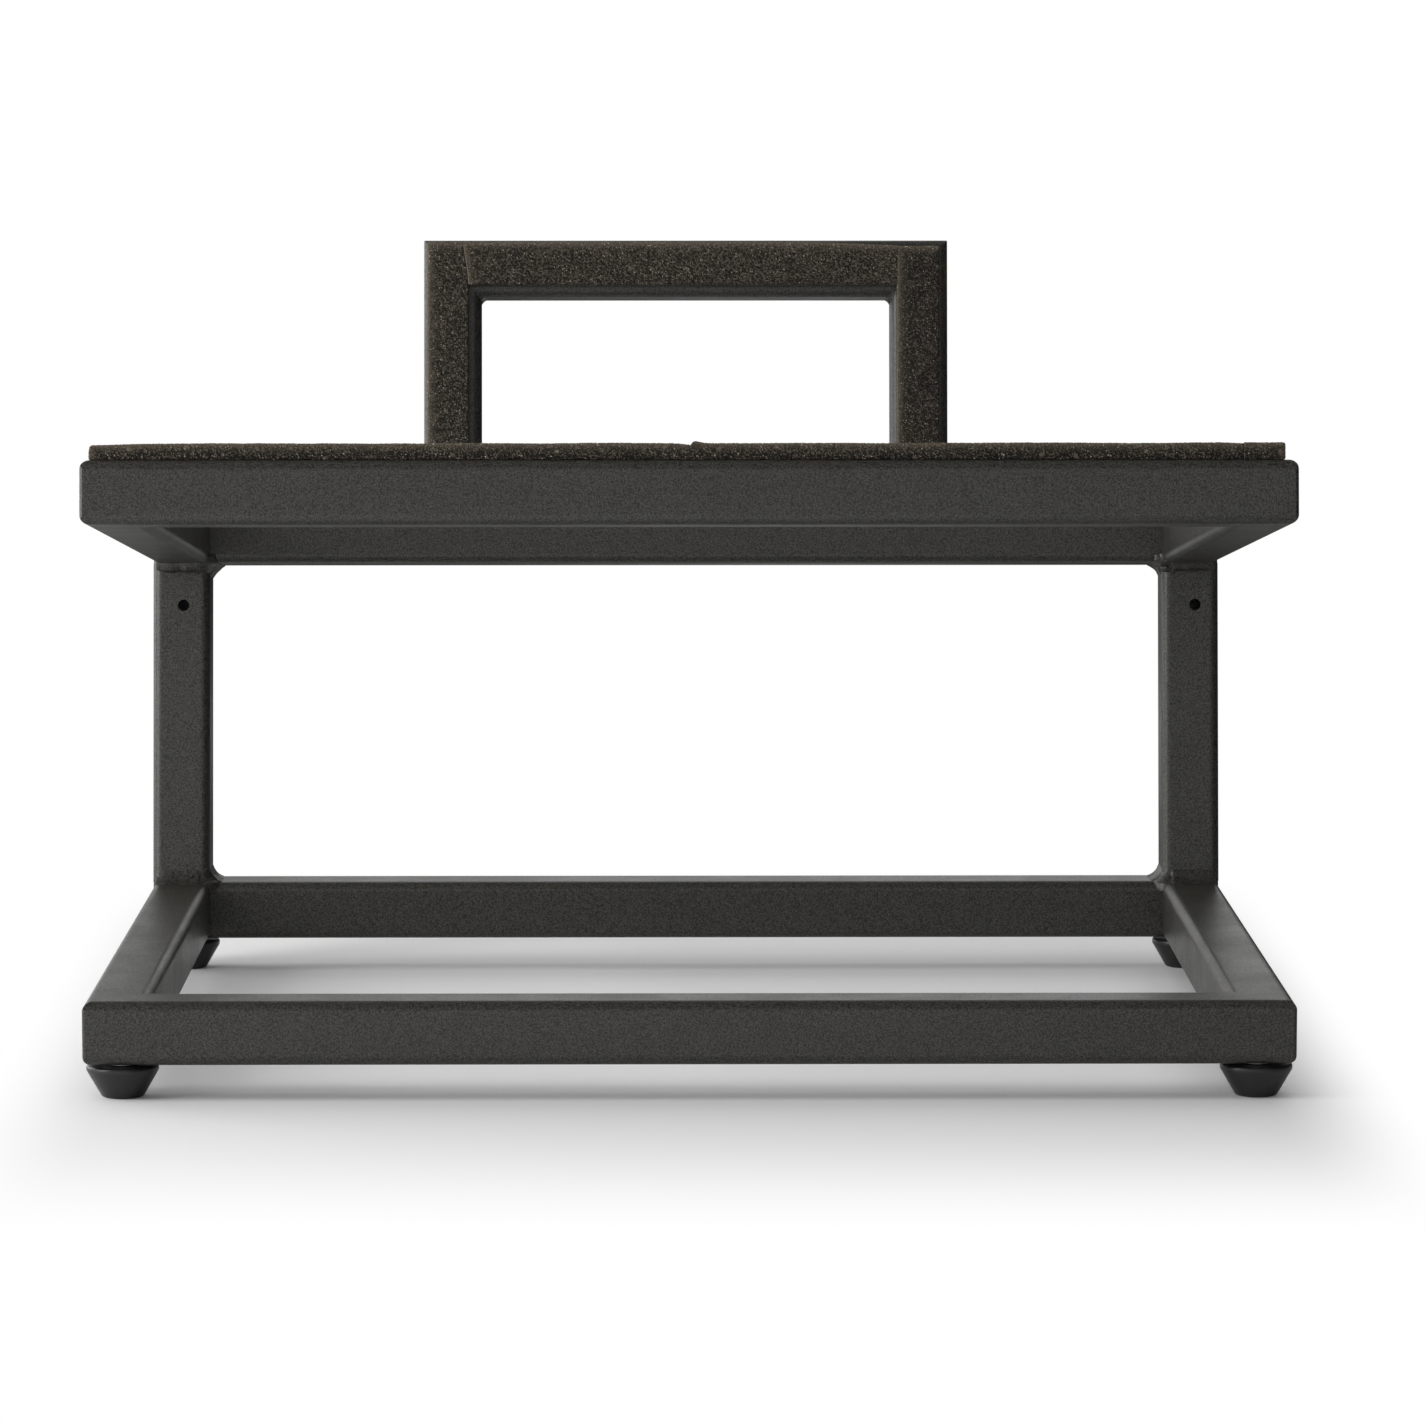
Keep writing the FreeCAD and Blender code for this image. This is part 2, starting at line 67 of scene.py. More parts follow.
# Outer rounding of the square tube
TUBE_CORNER = 3.2 * MM

# The shelf, posts and backrest lean back together; TILT turns leaning coordinates into the stand's own
SEAT_AXIS = Vector(next(m["axis"] for m in frame["record"]["mounts"] if m["name"] == "speaker_seat"))
LEAN = math.atan2(SEAT_AXIS.y, SEAT_AXIS.z)
TILT = Matrix.Rotation(-LEAN, 4, "X")

# Vertices closer than this are merged, and edges that turn more sharply than these angles stay crisp
MERGE = 0.01 * MM
WELD_SHARP, THREAD_SHARP, FOOT_SHARP = (math.radians(angle) for angle in (50, 35, 40))


# Settings that a user would change
class CoatSettings(bpy.types.PropertyGroup):
    """Satin powder coat of the tubes and welds"""

    colour: FloatVectorProperty(
        name="Colour", description="Colour of the powder coat", subtype="COLOR", min=0, max=1,
        default=(0.0315, 0.0302, 0.0250))
    roughness: FloatProperty(
        name="Roughness", description="How matt the coat is", subtype="FACTOR", min=0, max=1, default=0.37)
    grain: FloatProperty(
        name="Grain", description="Width of one grain of the coat", unit="LENGTH", default=0.42 * MM)
    relief: FloatProperty(
        name="Relief", description="Height of the grain", unit="LENGTH", default=0.08 * MM)


class WeldSettings(bpy.types.PropertyGroup):
    """Weld beads under the coat"""

    post_leg: FloatProperty(
        name="Post bead", description="Leg of the beads round the posts", unit="LENGTH", default=4.5 * MM)
    backrest_leg: FloatProperty(
        name="Backrest bead", description="Leg of the beads at the backrest's feet", unit="LENGTH",
        default=3.0 * MM)
    corner_leg: FloatProperty(
        name="Corner bead", description="Leg of the beads in the backrest's upper corners", unit="LENGTH",
        default=1.7 * MM)
    lumps: FloatProperty(
        name="Lumps", description="Height of the beads' lumps", unit="LENGTH", default=0.16 * MM)


class FoamSettings(bpy.types.PropertyGroup):
    """Open-cell foam strips on the shelf and backrest"""

    strut: FloatVectorProperty(
        name="Strut colour", description="Colour of the foam's cell walls", subtype="COLOR", min=0, max=1,
        default=(0.118, 0.098, 0.072))
    # Painted shade: the near-black colour deep in the open cells stands for the shade that falls in them
    pit_shade: FloatVectorProperty(
        name="Pit colour", description="Colour deep in the foam's cells", subtype="COLOR", min=0, max=1,
        default=(0.0042, 0.0036, 0.0030))
    thread: FloatVectorProperty(
        name="Thread colour", description="Colour of the brightest cut threads", subtype="COLOR",
        min=0, max=1, default=(0.78, 0.72, 0.60))
    cell: FloatProperty(
        name="Cell", description="Width of one cell", unit="LENGTH", default=0.85 * MM)
    depth: FloatProperty(
        name="Cell depth", description="Depth of the open cells", unit="LENGTH", default=0.34 * MM)
    edge: FloatProperty(
        name="Edge", description="Rounding of the cut edges", unit="LENGTH", default=0.75 * MM)
    facet: FloatProperty(
        name="Facet", description="Size of the mesh's faces", unit="LENGTH", default=0.36 * MM)


class HardwareSettings(bpy.types.PropertyGroup):
    """Feet, threaded studs and rivet nuts"""

    plastic: FloatVectorProperty(
        name="Foot colour", description="Colour of the moulded feet", subtype="COLOR", min=0, max=1,
        default=(0.0135, 0.0135, 0.0138))
    zinc: FloatVectorProperty(
        name="Zinc colour", description="Colour of the plated steel", subtype="COLOR", min=0, max=1,
        default=(0.56, 0.56, 0.57))
    foot_drop: FloatProperty(
        name="Foot drop", description="Foot's upper face below the CAD foot's", unit="LENGTH",
        default=0.8 * MM)
    rim_height: FloatProperty(
        name="Rim height", description="Height of a foot's rim", unit="LENGTH", default=1.75 * MM)
    rim_edge: FloatProperty(
        name="Rim edge", description="Rounding of a foot's upper edge", unit="LENGTH", default=0.9 * MM)
    crease_edge: FloatProperty(
        name="Crease", description="Rounding under a foot's rim", unit="LENGTH", default=0.2 * MM)
    toe_edge: FloatProperty(
        name="Toe edge", description="Rounding of a foot's lower edge", unit="LENGTH", default=0.8 * MM)
    bore: FloatProperty(
        name="Bore", description="Radius of a foot's bore", unit="LENGTH", default=3.05 * MM)
    bore_depth: FloatProperty(
        name="Bore depth", description="Depth of a foot's bore", unit="LENGTH", default=6.7 * MM)
    low_radius: FloatProperty(
        name="Toe radius", description="Radius of a foot at the floor", unit="LENGTH", default=6.4 * MM)
    foot_sides: IntProperty(
        name="Foot sides", description="Faces round a foot", min=24, default=128)
    pitch: FloatProperty(
        name="Pitch", description="Pitch of the studs' thread", unit="LENGTH", default=1.0 * MM)
    thread_depth: FloatProperty(
        name="Thread depth", description="Depth of the studs' thread", unit="LENGTH", default=0.54 * MM)
    thread_sides: IntProperty(
        name="Thread sides", description="Faces round one turn of the thread", min=12, default=48)


class StageSettings(bpy.types.PropertyGroup):
    """Floor, light and camera"""

    floor: FloatVectorProperty(
        name="Floor", description="Colour of the floor", subtype="COLOR", min=0, max=1,
        default=(0.90, 0.90, 0.90))
    rim: FloatProperty(
        name="Rim light", description="Power of the softbox behind on the left", unit="POWER", default=1.2)
    side: FloatProperty(
        name="Side light", description="Power of the low softbox on the left", unit="POWER", default=1.6)
    key: FloatProperty(
        name="Key light", description="Power of the softbox on the left", unit="POWER", default=9.0)
    overhead: FloatProperty(
        name="Overhead light", description="Power of the softbox above", unit="POWER", default=21.0)
    lens: FloatProperty(
        name="Lens", description="Focal length of the camera, in millimetres", default=153.57)
    eye: FloatVectorProperty(
        name="Camera place", description="Where the camera stands", subtype="TRANSLATION", unit="LENGTH",
        default=(-0.00885, -2.00935, 0.32855))
    pitch: FloatProperty(
        name="Camera pitch", description="How far the camera looks down", subtype="ANGLE",
        default=math.radians(6.395))
    turn: FloatProperty(
        name="Camera turn", description="How far the camera looks to the right", subtype="ANGLE",
        default=math.radians(0.488))


class StandSettings(bpy.types.PropertyGroup):
    """All settings of the stand"""

    coat: PointerProperty(type=CoatSettings, name="Coat", description="Powder coat")
    weld: PointerProperty(type=WeldSettings, name="Welds", description="Weld beads")
    foam: PointerProperty(type=FoamSettings, name="Foam", description="Foam strips")
    hardware: PointerProperty(type=HardwareSettings, name="Hardware", description="Feet, studs and nuts")
    stage: PointerProperty(type=StageSettings, name="Stage", description="Floor, light and camera")


# Shader nodes, laid out in rows in the editor
NODES_IN_ROW, NODE_WIDTH, NODE_HEIGHT = 8, 220, 260
RISE, FALL = (0.0, 1.0), (1.0, 0.0)


def add(tree, kind, inputs=None, **settings):
    """A new node, with its settings, and its inputs linked or set."""
    node = tree.nodes.new(kind)
    row, column = divmod(len(tree.nodes), NODES_IN_ROW)
    node.location = (NODE_WIDTH * column, -NODE_HEIGHT * row)
    for name, value in settings.items():
        setattr(node, name, value)
    for name, value in (inputs or {}).items():
        if isinstance(value, bpy.types.NodeSocket):
            tree.links.new(value, node.inputs[name])
        else:
            node.inputs[name].default_value = value
    return node


def maths(tree, operation, first, second=0.0, clamp=False):
    """One operation on values."""
    return add(tree, "ShaderNodeMath", {0: first, 1: second}, operation=operation,
               use_clamp=clamp).outputs[0]


def times(tree, first, *others):
    """The product of values."""
    for other in others:
        first = maths(tree, "MULTIPLY", first, other)
    return first


def highest(tree, first, *others):
    """The highest of values."""
    for other in others:
        first = maths(tree, "MAXIMUM", first, other)
    return first


def rest_of(tree, value):
    """What a value leaves of 1."""
    return maths(tree, "SUBTRACT", 1.0, value)


def weigh(tree, first, second, share, clamp=False):
    """A share of the first value and the rest of the second."""
    return maths(tree, "ADD", times(tree, first, share), times(tree, second, 1.0 - share), clamp)


def spread(tree, value, span, onto=RISE):
    """Map a value from one span onto another, smoothly and clamped."""
    ends = {"From Min": span[0], "From Max": span[1], "To Min": onto[0], "To Max": onto[1]}
    return add(tree, "ShaderNodeMapRange", {"Value": value, **ends},
               interpolation_type="SMOOTHSTEP").outputs["Result"]


def blend_colours(tree, factor, first, second):
    """Mix two colours, each a socket or three numbers."""
    first, second = (value if isinstance(value, bpy.types.NodeSocket) else (*value, 1.0)
                     for value in (first, second))
    return add(tree, "ShaderNodeMix", {0: factor, 6: first, 7: second}, data_type="RGBA").outputs[2]


def new_group(name, inputs, outputs):
    """An empty shader group with float inputs besides its Vector, and float outputs."""
    group = bpy.data.node_groups.new(name, "ShaderNodeTree")
    group.interface.new_socket("Vector", in_out="INPUT", socket_type="NodeSocketVector")
    for socket, value in inputs.items():
        made = group.interface.new_socket(socket, in_out="INPUT", socket_type="NodeSocketFloat")
        made.default_value = value
    for socket in outputs:
        group.interface.new_socket(socket, in_out="OUTPUT", socket_type="NodeSocketFloat")
    return group, add(group, "NodeGroupInput").outputs


def scaled_place(tree, given):
    """The group's vector in units of its Size."""
    scale = maths(tree, "DIVIDE", 1.0, given["Size"])
    return add(tree, "ShaderNodeVectorMath", {0: given["Vector"], "Scale": scale},
               operation="SCALE").outputs[0]


def grain_group():
    """Fine grain: pebbled height, for powder coat, foam, moulded plastic and plated steel."""
    if "Fine grain" in bpy.data.node_groups:
        return bpy.data.node_groups["Fine grain"]
    tree, given = new_group("Fine grain", {"Size": MM}, ("Height",))
    place = scaled_place(tree, given)
    cloud = add(tree, "ShaderNodeTexNoise",
                {"Vector": place, "Scale": 1.0, "Detail": 3.0, "Roughness": 0.62}).outputs["Fac"]
    gap = add(tree, "ShaderNodeTexVoronoi", {"Vector": place, "Scale": 0.85, "Smoothness": 0.7},
              feature="SMOOTH_F1").outputs["Distance"]
    add(tree, "NodeGroupOutput", {"Height": weigh(tree, cloud, rest_of(tree, gap), share=0.65, clamp=True)})
    return tree


def mottle_group():
    """Mottle: slow, soft change over the surface, from 0 to 1."""
    if "Mottle" in bpy.data.node_groups:
        return bpy.data.node_groups["Mottle"]
    tree, given = new_group("Mottle", {"Size": 0.03}, ("Value",))
    cloud = add(tree, "ShaderNodeTexNoise",
                {"Vector": scaled_place(tree, given), "Scale": 1.0, "Detail": 4.0, "Roughness": 0.55,
                 "Distortion": 0.4}).outputs["Fac"]
    add(tree, "NodeGroupOutput", {"Value": spread(tree, cloud, span=(0.3, 0.7))})
    return tree


def speck_group():
    """Specks: a few small round flecks, as a mask."""
    if "Specks" in bpy.data.node_groups:
        return bpy.data.node_groups["Specks"]
    tree, given = new_group("Specks", {"Size": MM, "Share": 0.05}, ("Mask",))
    cells = add(tree, "ShaderNodeTexVoronoi", {"Vector": scaled_place(tree, given), "Scale": 1.0}).outputs
    spot = spread(tree, cells["Distance"], span=(0.12, 0.34), onto=FALL)
    draw = add(tree, "ShaderNodeSeparateColor", {"Color": cells["Color"]}).outputs
    chosen = maths(tree, "LESS_THAN", draw["Red"], given["Share"])
    weight = spread(tree, draw["Green"], span=RISE, onto=(0.3, 1.0))
    add(tree, "NodeGroupOutput", {"Mask": times(tree, spot, chosen, weight)})
    return tree


def use(tree, group, **inputs):
    """The first output of a group placed in a tree."""
    return add(tree, "ShaderNodeGroup", inputs, node_tree=group).outputs[0]


def new_material(name, **sockets):
    """A material with a Principled shader; returns it with its tree, shader and object coordinates."""
    material = bpy.data.materials.new(name)
    material.use_nodes = True
    tree = material.node_tree
    tree.nodes.clear()
    shader = add(tree, "ShaderNodeBsdfPrincipled")
    for socket, value in sockets.items():
        shader.inputs[socket.replace("_", " ")].default_value = value
    add(tree, "ShaderNodeOutputMaterial", {"Surface": shader.outputs[0]})
    return material, tree, shader, add(tree, "ShaderNodeTexCoord").outputs["Object"]


def bump(tree, height, distance):
    """A normal that follows a height."""
    return add(tree, "ShaderNodeBump", {"Height": height, "Distance": distance, "Strength": 1.0}).outputs[0]


def connect(tree, shader, colour, roughness, normal):
    """Link what changes over a surface to its shader."""
    for socket, value in (("Base Color", colour), ("Roughness", roughness), ("Normal", normal)):
        tree.links.new(value, shader.inputs[socket])


def shade(colour, factor):
    """A colour made darker or paler."""
    return tuple(min(1.0, value * factor) for value in colour)


# Finishes
def powder_coat(coat):
    """Fine-grain satin powder coat with a slow mottle and a few pale flecks; the grain's hollows are
    painted darker and its peaks paler, as painted shade and painted light on its bumps.
    """
    if "satin_powder_coat" in bpy.data.materials:
        return bpy.data.materials["satin_powder_coat"]
    material, tree, shader, place = new_material("satin_powder_coat", IOR=1.5, Specular_IOR_Level=0.55)
    grain = use(tree, grain_group(), Vector=place, Size=coat.grain)
    cloud = use(tree, mottle_group(), Vector=place, Size=22 * MM)
    fleck = use(tree, speck_group(), Vector=place, Size=0.6 * MM, Share=0.2)
    level = spread(tree, grain, span=(0.36, 0.70))
    # Painted shade and painted light: the colour darkens in the grain's hollows and pales on its peaks,
    # standing for how light falls on the bumps
    hollow, lit_peak, bright = (shade(coat.colour, factor) for factor in (0.08, 2.05, 3.0))
    colour = blend_colours(tree, level, hollow, lit_peak)
    faint_fleck = times(tree, fleck, 0.45)
    colour = blend_colours(tree, faint_fleck, colour, bright)
    tone = weigh(tree, level, cloud, share=0.6)
    swing = 0.06
    roughness = spread(tree, tone, span=RISE, onto=(coat.roughness + swing, coat.roughness - swing))
    connect(tree, shader, colour, roughness, bump(tree, grain, coat.relief))
    return material


def open_cell_foam(foam):
    """Matt brown-charcoal foam: open cells darkened as painted shade, paler cell walls, cut edges paled
    partly by wear and partly as painted light, and a few bright threads.
    """
    if "open_cell_foam" in bpy.data.materials:
        return bpy.data.materials["open_cell_foam"]
    material, tree, shader, place = new_material("open_cell_foam", IOR=1.4)
    wall, rim = (add(tree, "ShaderNodeAttribute", attribute_name=name).outputs["Fac"]
                 for name in ("cell_wall", "pale_edge"))
    fine = use(tree, grain_group(), Vector=place, Size=0.3 * MM)
    fleck = use(tree, speck_group(), Vector=place, Size=0.7 * MM, Share=0.5)
    cloud = use(tree, mottle_group(), Vector=place, Size=9 * MM)
    # Painted shade: in the open cells and in the fine grain's hollows the colour darkens towards the colour
    # deep in the cells
    level = weigh(tree, wall, fine, share=0.5)
    colour = blend_colours(tree, spread(tree, level, span=(0.48, 0.76)), foam.pit_shade, foam.strut)
    haze, worn_and_lit_walls = shade(foam.strut, 0.6), shade(foam.strut, 1.7)
    faint_cloud = times(tree, cloud, 0.12)
    colour = blend_colours(tree, faint_cloud, colour, haze)
    # The pale cut edges are partly wear and partly painted light where the edges catch the light
    worn_and_lit = times(tree, rim, spread(tree, fine, span=(0.35, 0.65), onto=(0.2, 0.8)))
    colour = blend_colours(tree, worn_and_lit, colour, worn_and_lit_walls)
    bright = times(tree, fleck, spread(tree, wall, span=(0.3, 1.0), onto=(0.1, 0.95)))
    colour = blend_colours(tree, bright, colour, foam.thread)
    roughness = spread(tree, level, span=(0.2, 0.9), onto=(1.0, 0.82))
    connect(tree, shader, colour, roughness, bump(tree, fine, distance=0.22 * MM))
    return material


def moulded_plastic(hardware):
    """Satin black moulded plastic with a fine spark-eroded texture."""
    material, tree, shader, place = new_material("moulded_foot_plastic", IOR=1.5)
    grain = use(tree, grain_group(), Vector=place, Size=0.35 * MM)
    cloud = use(tree, mottle_group(), Vector=place, Size=6 * MM)
    fleck = use(tree, speck_group(), Vector=place, Size=1.2 * MM, Share=0.04)
    tone = weigh(tree, grain, cloud, share=0.4)
    dark, pale, grey = shade(hardware.plastic, 0.8), shade(hardware.plastic, 1.25), (0.12, 0.12, 0.12)
    colour = blend_colours(tree, tone, dark, pale)
    faint_fleck = times(tree, fleck, 0.12)
    colour = blend_colours(tree, faint_fleck, colour, grey)
    roughness = spread(tree, tone, span=(0.2, 0.8), onto=(0.28, 0.40))
    connect(tree, shader, colour, roughness, bump(tree, grain, distance=0.012 * MM))
    return material


def plated_steel(name, hardware, dulling):
    """Zinc-plated steel: pale, cloudy and finely grained."""
    material, tree, shader, place = new_material(name, Metallic=1.0)
    grain = use(tree, grain_group(), Vector=place, Size=0.25 * MM)
    cloud = use(tree, mottle_group(), Vector=place, Size=2.5 * MM)
    dull, bright = shade(hardware.zinc, 0.82), shade(hardware.zinc, 1.1)
    colour = blend_colours(tree, cloud, dull, bright)
    roughness = spread(tree, cloud, span=RISE, onto=(0.26 + dulling, 0.40 + dulling))
    connect(tree, shader, colour, roughness, bump(tree, grain, distance=0.006 * MM))
    return material


# Meshes
def leaning_box(name):
    """Lowest and highest corner of a CAD node, measured in leaning coordinates."""
    turn = np.array(TILT.inverted().to_3x3())
    points = np.array([v.co for v in frame["nodes"][name].data.vertices]) @ turn.T
    return Vector(points.min(axis=0)), Vector(points.max(axis=0))


def box_between(low, high):
    """The matrix that stretches a unit cube between two corners."""
    return Matrix.LocRotScale((low + high) / 2, None, high - low)


def new_piece(name, bm, material, body, replaced, sharp_angle=None):
    """Turn a bmesh into a piece that rides on a body and stands for CAD nodes."""
    mesh = bpy.data.meshes.new(name)
    bmesh.ops.recalc_face_normals(bm, faces=bm.faces)
    for face in bm.faces:
        face.smooth = True
    bm.to_mesh(mesh)
    bm.free()
    if sharp_angle is not None:
        mesh.set_sharp_from_angle(angle=sharp_angle)
    mesh.materials.append(material)
    piece = bpy.data.objects.new(name, mesh)
    bpy.context.scene.collection.objects.link(piece)
    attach(piece, body)
    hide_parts(*replaced)
    return piece


def join(bm, part, matrix):
    """Add one bmesh to another, placed by a matrix."""
    bmesh.ops.transform(part, matrix=matrix, verts=part.verts)
    bmesh.ops.recalc_face_normals(part, faces=part.faces)
    held = bpy.data.meshes.new("held")
    part.to_mesh(held)
    part.free()
    bm.from_mesh(held)
    bpy.data.meshes.remove(held)


# Weld beads: X runs along the first face, Y stands out from it and Z rises up the post.
# A bead's face goes on in short steps, and its root goes down into the tubes
BEAD_STEP, FACE_STEPS, TURN_STEPS = 0.45 * MM, 9, 10
ROOT_DEPTH, ROOT_INSET = 3.4 * MM, 0.12 * MM
RUN_OUT = 1.4 * MM

# Radius of each bead's hollow face, and the leg's factor and the bulge along the front of the posts' heads
POST_HOLLOW, LEFT_HEAD_HOLLOW, BACKREST_HOLLOW, CORNER_HOLLOW = 6 * MM, 14 * MM, 4.2 * MM, 2.6 * MM
HEAD_FRONT = (0.72, 1.3 * MM)

# A bead's toes wander, its ends taper, it is thinner round the corner, and it bulges and has lumps
WANDER, WANDER_WIDTH = 0.12, 3 * MM
END_SIZE, END_REACH = 0.7, 2.5 * MM
CORNER_SIZE, FRONT_REACH = 0.72, 2 * MM
BULGE_SWING, BULGE_WIDTH = 0.35, 2 * MM
LUMP_WIDTH, FINE_LUMP_WIDTH, FINE_LUMP = 1.7 * MM, 0.8 * MM, 0.4
SMOOTHING, LUMPS_FROM = 0.4, -0.3 * MM
BACKREST_LUMPS, CORNER_LUMPS = 0.7, 0.4

# How much of a tube's rounding a corner bead lies over, and how far into it the bead is bent
CORNER_OVERLAP, VALLEY_SHARE = 0.85, 0.98

# Flush weld metal: how far inside the tube's faces and above the joint it is, which edges are long,
# how finely it is cut, and its dents
FILLER_INSET, FILLER_TOP, FILLER_LONG = 0.05 * MM, 0.5 * MM, 5 * MM
FILLER_ROUND, FILLER_RISE_CUTS, FILLER_SIDE_CUTS = 6, 6, 22
FILLER_DENT, FILLER_DENT_WIDTH = 0.09 * MM, 2.2 * MM

# Drops of weld metal at the right post's head and the left post's foot: centre and radii in millimetres
RIGHT_HEAD_DROPS = (((0.9, 0.4, -1.6), (1.9, 1.4, 1.7)), ((-1.7, -0.4, 1.9), (2.3, 1.5, 1.3)))
LEFT_FOOT_DROPS = (((-1.3, 0.2, 4.6), (0.5, 0.5, 0.5)), ((-14.8, 0.0, 7.4), (0.4, 0.3, 0.4)),
                   ((-6.0, 1.2, 2.6), (0.4, 0.4, 0.4)))
DROP_SWING, DROP_LUMP_WIDTH = 0.22, 1.1 * MM

# Where the noise of each kind of joint starts, so that no two look alike
FOOT_SEED, HEAD_SEED, FILLER_SEED, CORNER_SEED = 3.0, 7.0, 5.0, 9.0


def bead_profile(bm, x, leg, hollow):
    """The bead's section at one end: a hollow face between two toes, and a root sunk in the tubes."""
    centre = (leg + math.sqrt(2 * hollow ** 2 - leg ** 2)) / 2
    sweep = math.atan2(centre, centre - leg) - math.atan2(centre - leg, centre)
    toe = bm.verts.new((x, leg, 0))
    bmesh.ops.spin(bm, geom=[toe], cent=(x, centre, centre), axis=(1, 0, 0), angle=-sweep,
                   steps=FACE_STEPS)
    bm.verts.ensure_lookup_table()
    face_line = list(bm.verts)
    root = ((-ROOT_INSET, leg), (-ROOT_INSET, -ROOT_DEPTH), (leg, -ROOT_DEPTH))
    return bm.faces.new(face_line + [bm.verts.new((x, y, z)) for y, z in root])


def run_on(bm, section, run, direction):
    """Carry a section straight on in short steps; returns the section at its end."""
    count = round(run / BEAD_STEP)
    return bmesh.ops.spin(bm, geom=section, cent=(0, 0, 0), axis=(0, 0, 1), angle=0.0, steps=count,
                          dvec=Vector(direction) * (run / count))["geom_last"]


def post_bead(leg, hollow, radius, first_run, second_run, seed, lumps, front=(1.0, 0.0)):
    """A bead along the post's front, round its inner corner and along its inner face.

    front holds a factor for the leg and how far the bead bulges, along the post's front alone.
    """
    bm = bmesh.new()
    face = bead_profile(bm, -radius - first_run, leg, hollow)
    section = run_on(bm, [face, *face.edges, *face.verts], first_run, (1, 0, 0))
    if second_run:
        section = bmesh.ops.spin(bm, geom=section, cent=(-radius, -radius, 0), axis=(0, 0, 1),
                                 angle=-math.pi / 2, steps=TURN_STEPS)["geom_last"]
        run_on(bm, section, second_run, (0, -1, 0))
    bmesh.ops.remove_doubles(bm, verts=bm.verts, dist=MERGE)
    roughen_bead(bm, radius, first_run, second_run, seed, lumps, front)
    return bm


def bead_place(point, radius, first_run, second_run):
    """A point's path along the bead, reach out from the post, direction outwards and way to an end."""
    x, y = point.x, point.y
    if x < -radius or not second_run:
        return x + radius, y, Vector((0, 1, 0)), x + radius + first_run
    if y < -radius:
        return radius * math.pi / 2 - (y + radius), x, Vector((1, 0, 0)), y + radius + second_run
    direction = Vector((x + radius, y + radius, 0))
    outward = direction.length - radius
    direction.normalize()
    return radius * math.atan2(direction.x, direction.y), outward, direction, first_run


def end_size(way):
    """How large a bead is at some way from its end."""
    return END_SIZE + (1 - END_SIZE) * min(1.0, max(0.0, way) / END_REACH)


def roughen_bead(bm, radius, first_run, second_run, seed, lumps, front):
    """Let the toes wander, taper the ends, bulge the front and raise soft lumps."""
    front_leg, bulge = front
    for vertex in bm.verts:
        x, y, z = vertex.co
        path, outward, direction, way = bead_place(vertex.co, radius, first_run, second_run)
        wander = 1 + WANDER * noise.noise(Vector((path / WANDER_WIDTH, seed, 0.0)))
        taper = end_size(way) if second_run else min(end_size(way), end_size(-path))
        corner = CORNER_SIZE if second_run and x > -radius and y > -radius else 1.0
        share = min(1.0, max(0.0, -(x + radius) / FRONT_REACH))
        factor = wander * taper * corner * (1 + (front_leg - 1) * share)
        if outward > 0:
            vertex.co -= direction * outward * (1 - factor)
        if z > 0:
            vertex.co.z = z * factor
        if outward > 0 and z > 0:
            slope = math.atan2(z, outward)
            swing = 1 + BULGE_SWING * noise.noise(Vector((path / BULGE_WIDTH, 0.0, seed)))
            rise = bulge * share * math.sin(2 * slope) * swing
            vertex.co += rise * (direction * math.cos(slope) + Vector((0, 0, math.sin(slope))))
    bmesh.ops.smooth_vert(bm, verts=bm.verts, factor=SMOOTHING, use_axis_x=True, use_axis_y=True,
                          use_axis_z=True)
    bmesh.ops.recalc_face_normals(bm, faces=bm.faces)
    bm.normal_update()
    for vertex in bm.verts:
        if vertex.co.z < LUMPS_FROM:
            continue
        rise = noise.noise(vertex.co / LUMP_WIDTH + Vector((seed, 0, 0)))
        rise += FINE_LUMP * noise.noise(vertex.co / FINE_LUMP_WIDTH + Vector((0, seed, 0)))
        vertex.co += vertex.normal * (lumps * rise)


def follow_valley(bm, run, radius):
    """Bend both ends of a straight bead into the valley where two tubes' roundings meet."""
    for vertex in bm.verts:
        past = min(max(vertex.co.x, -run - vertex.co.x, 0.0), VALLEY_SHARE * radius)
        drop = radius - math.sqrt(radius ** 2 - past ** 2)
        vertex.co -= Vector((0, drop, drop))


def upright_edges(bm):
    """Edges that rise by more than a millimetre."""
    return [edge for edge in bm.edges if abs(edge.verts[0].co.z - edge.verts[1].co.z) > MM]


def notch_filler(size, radius, seed):
    """Ground-flush weld metal that carries a tube's outline down past the rounding it stands on.

    It spans X from -size.x to 0 and Y from -size.y to 0.
    """
    bm = bmesh.new()
    low = Vector((-size.x + FILLER_INSET, -size.y + FILLER_INSET, -ROOT_DEPTH))
    high = Vector((-FILLER_INSET, -FILLER_INSET, FILLER_TOP))
    bmesh.ops.create_cube(bm, size=1.0, matrix=box_between(low, high))
    bmesh.ops.bevel(bm, geom=upright_edges(bm), offset=radius, segments=FILLER_ROUND, profile=0.5,
                    affect="EDGES", material=-1)
    bmesh.ops.subdivide_edges(bm, edges=upright_edges(bm), cuts=FILLER_RISE_CUTS, use_grid_fill=True)
    level = [edge for edge in bm.edges if edge.calc_length() > FILLER_LONG]
    bmesh.ops.subdivide_edges(bm, edges=level, cuts=FILLER_SIDE_CUTS, use_grid_fill=True)
    bm.normal_update()
    for vertex in bm.verts:
        wave = noise.noise(vertex.co / FILLER_DENT_WIDTH + Vector((0, 0, seed)))
        vertex.co -= Vector((vertex.normal.x, vertex.normal.y, 0)) * (FILLER_DENT * (0.5 + 0.5 * wave))
    return bm


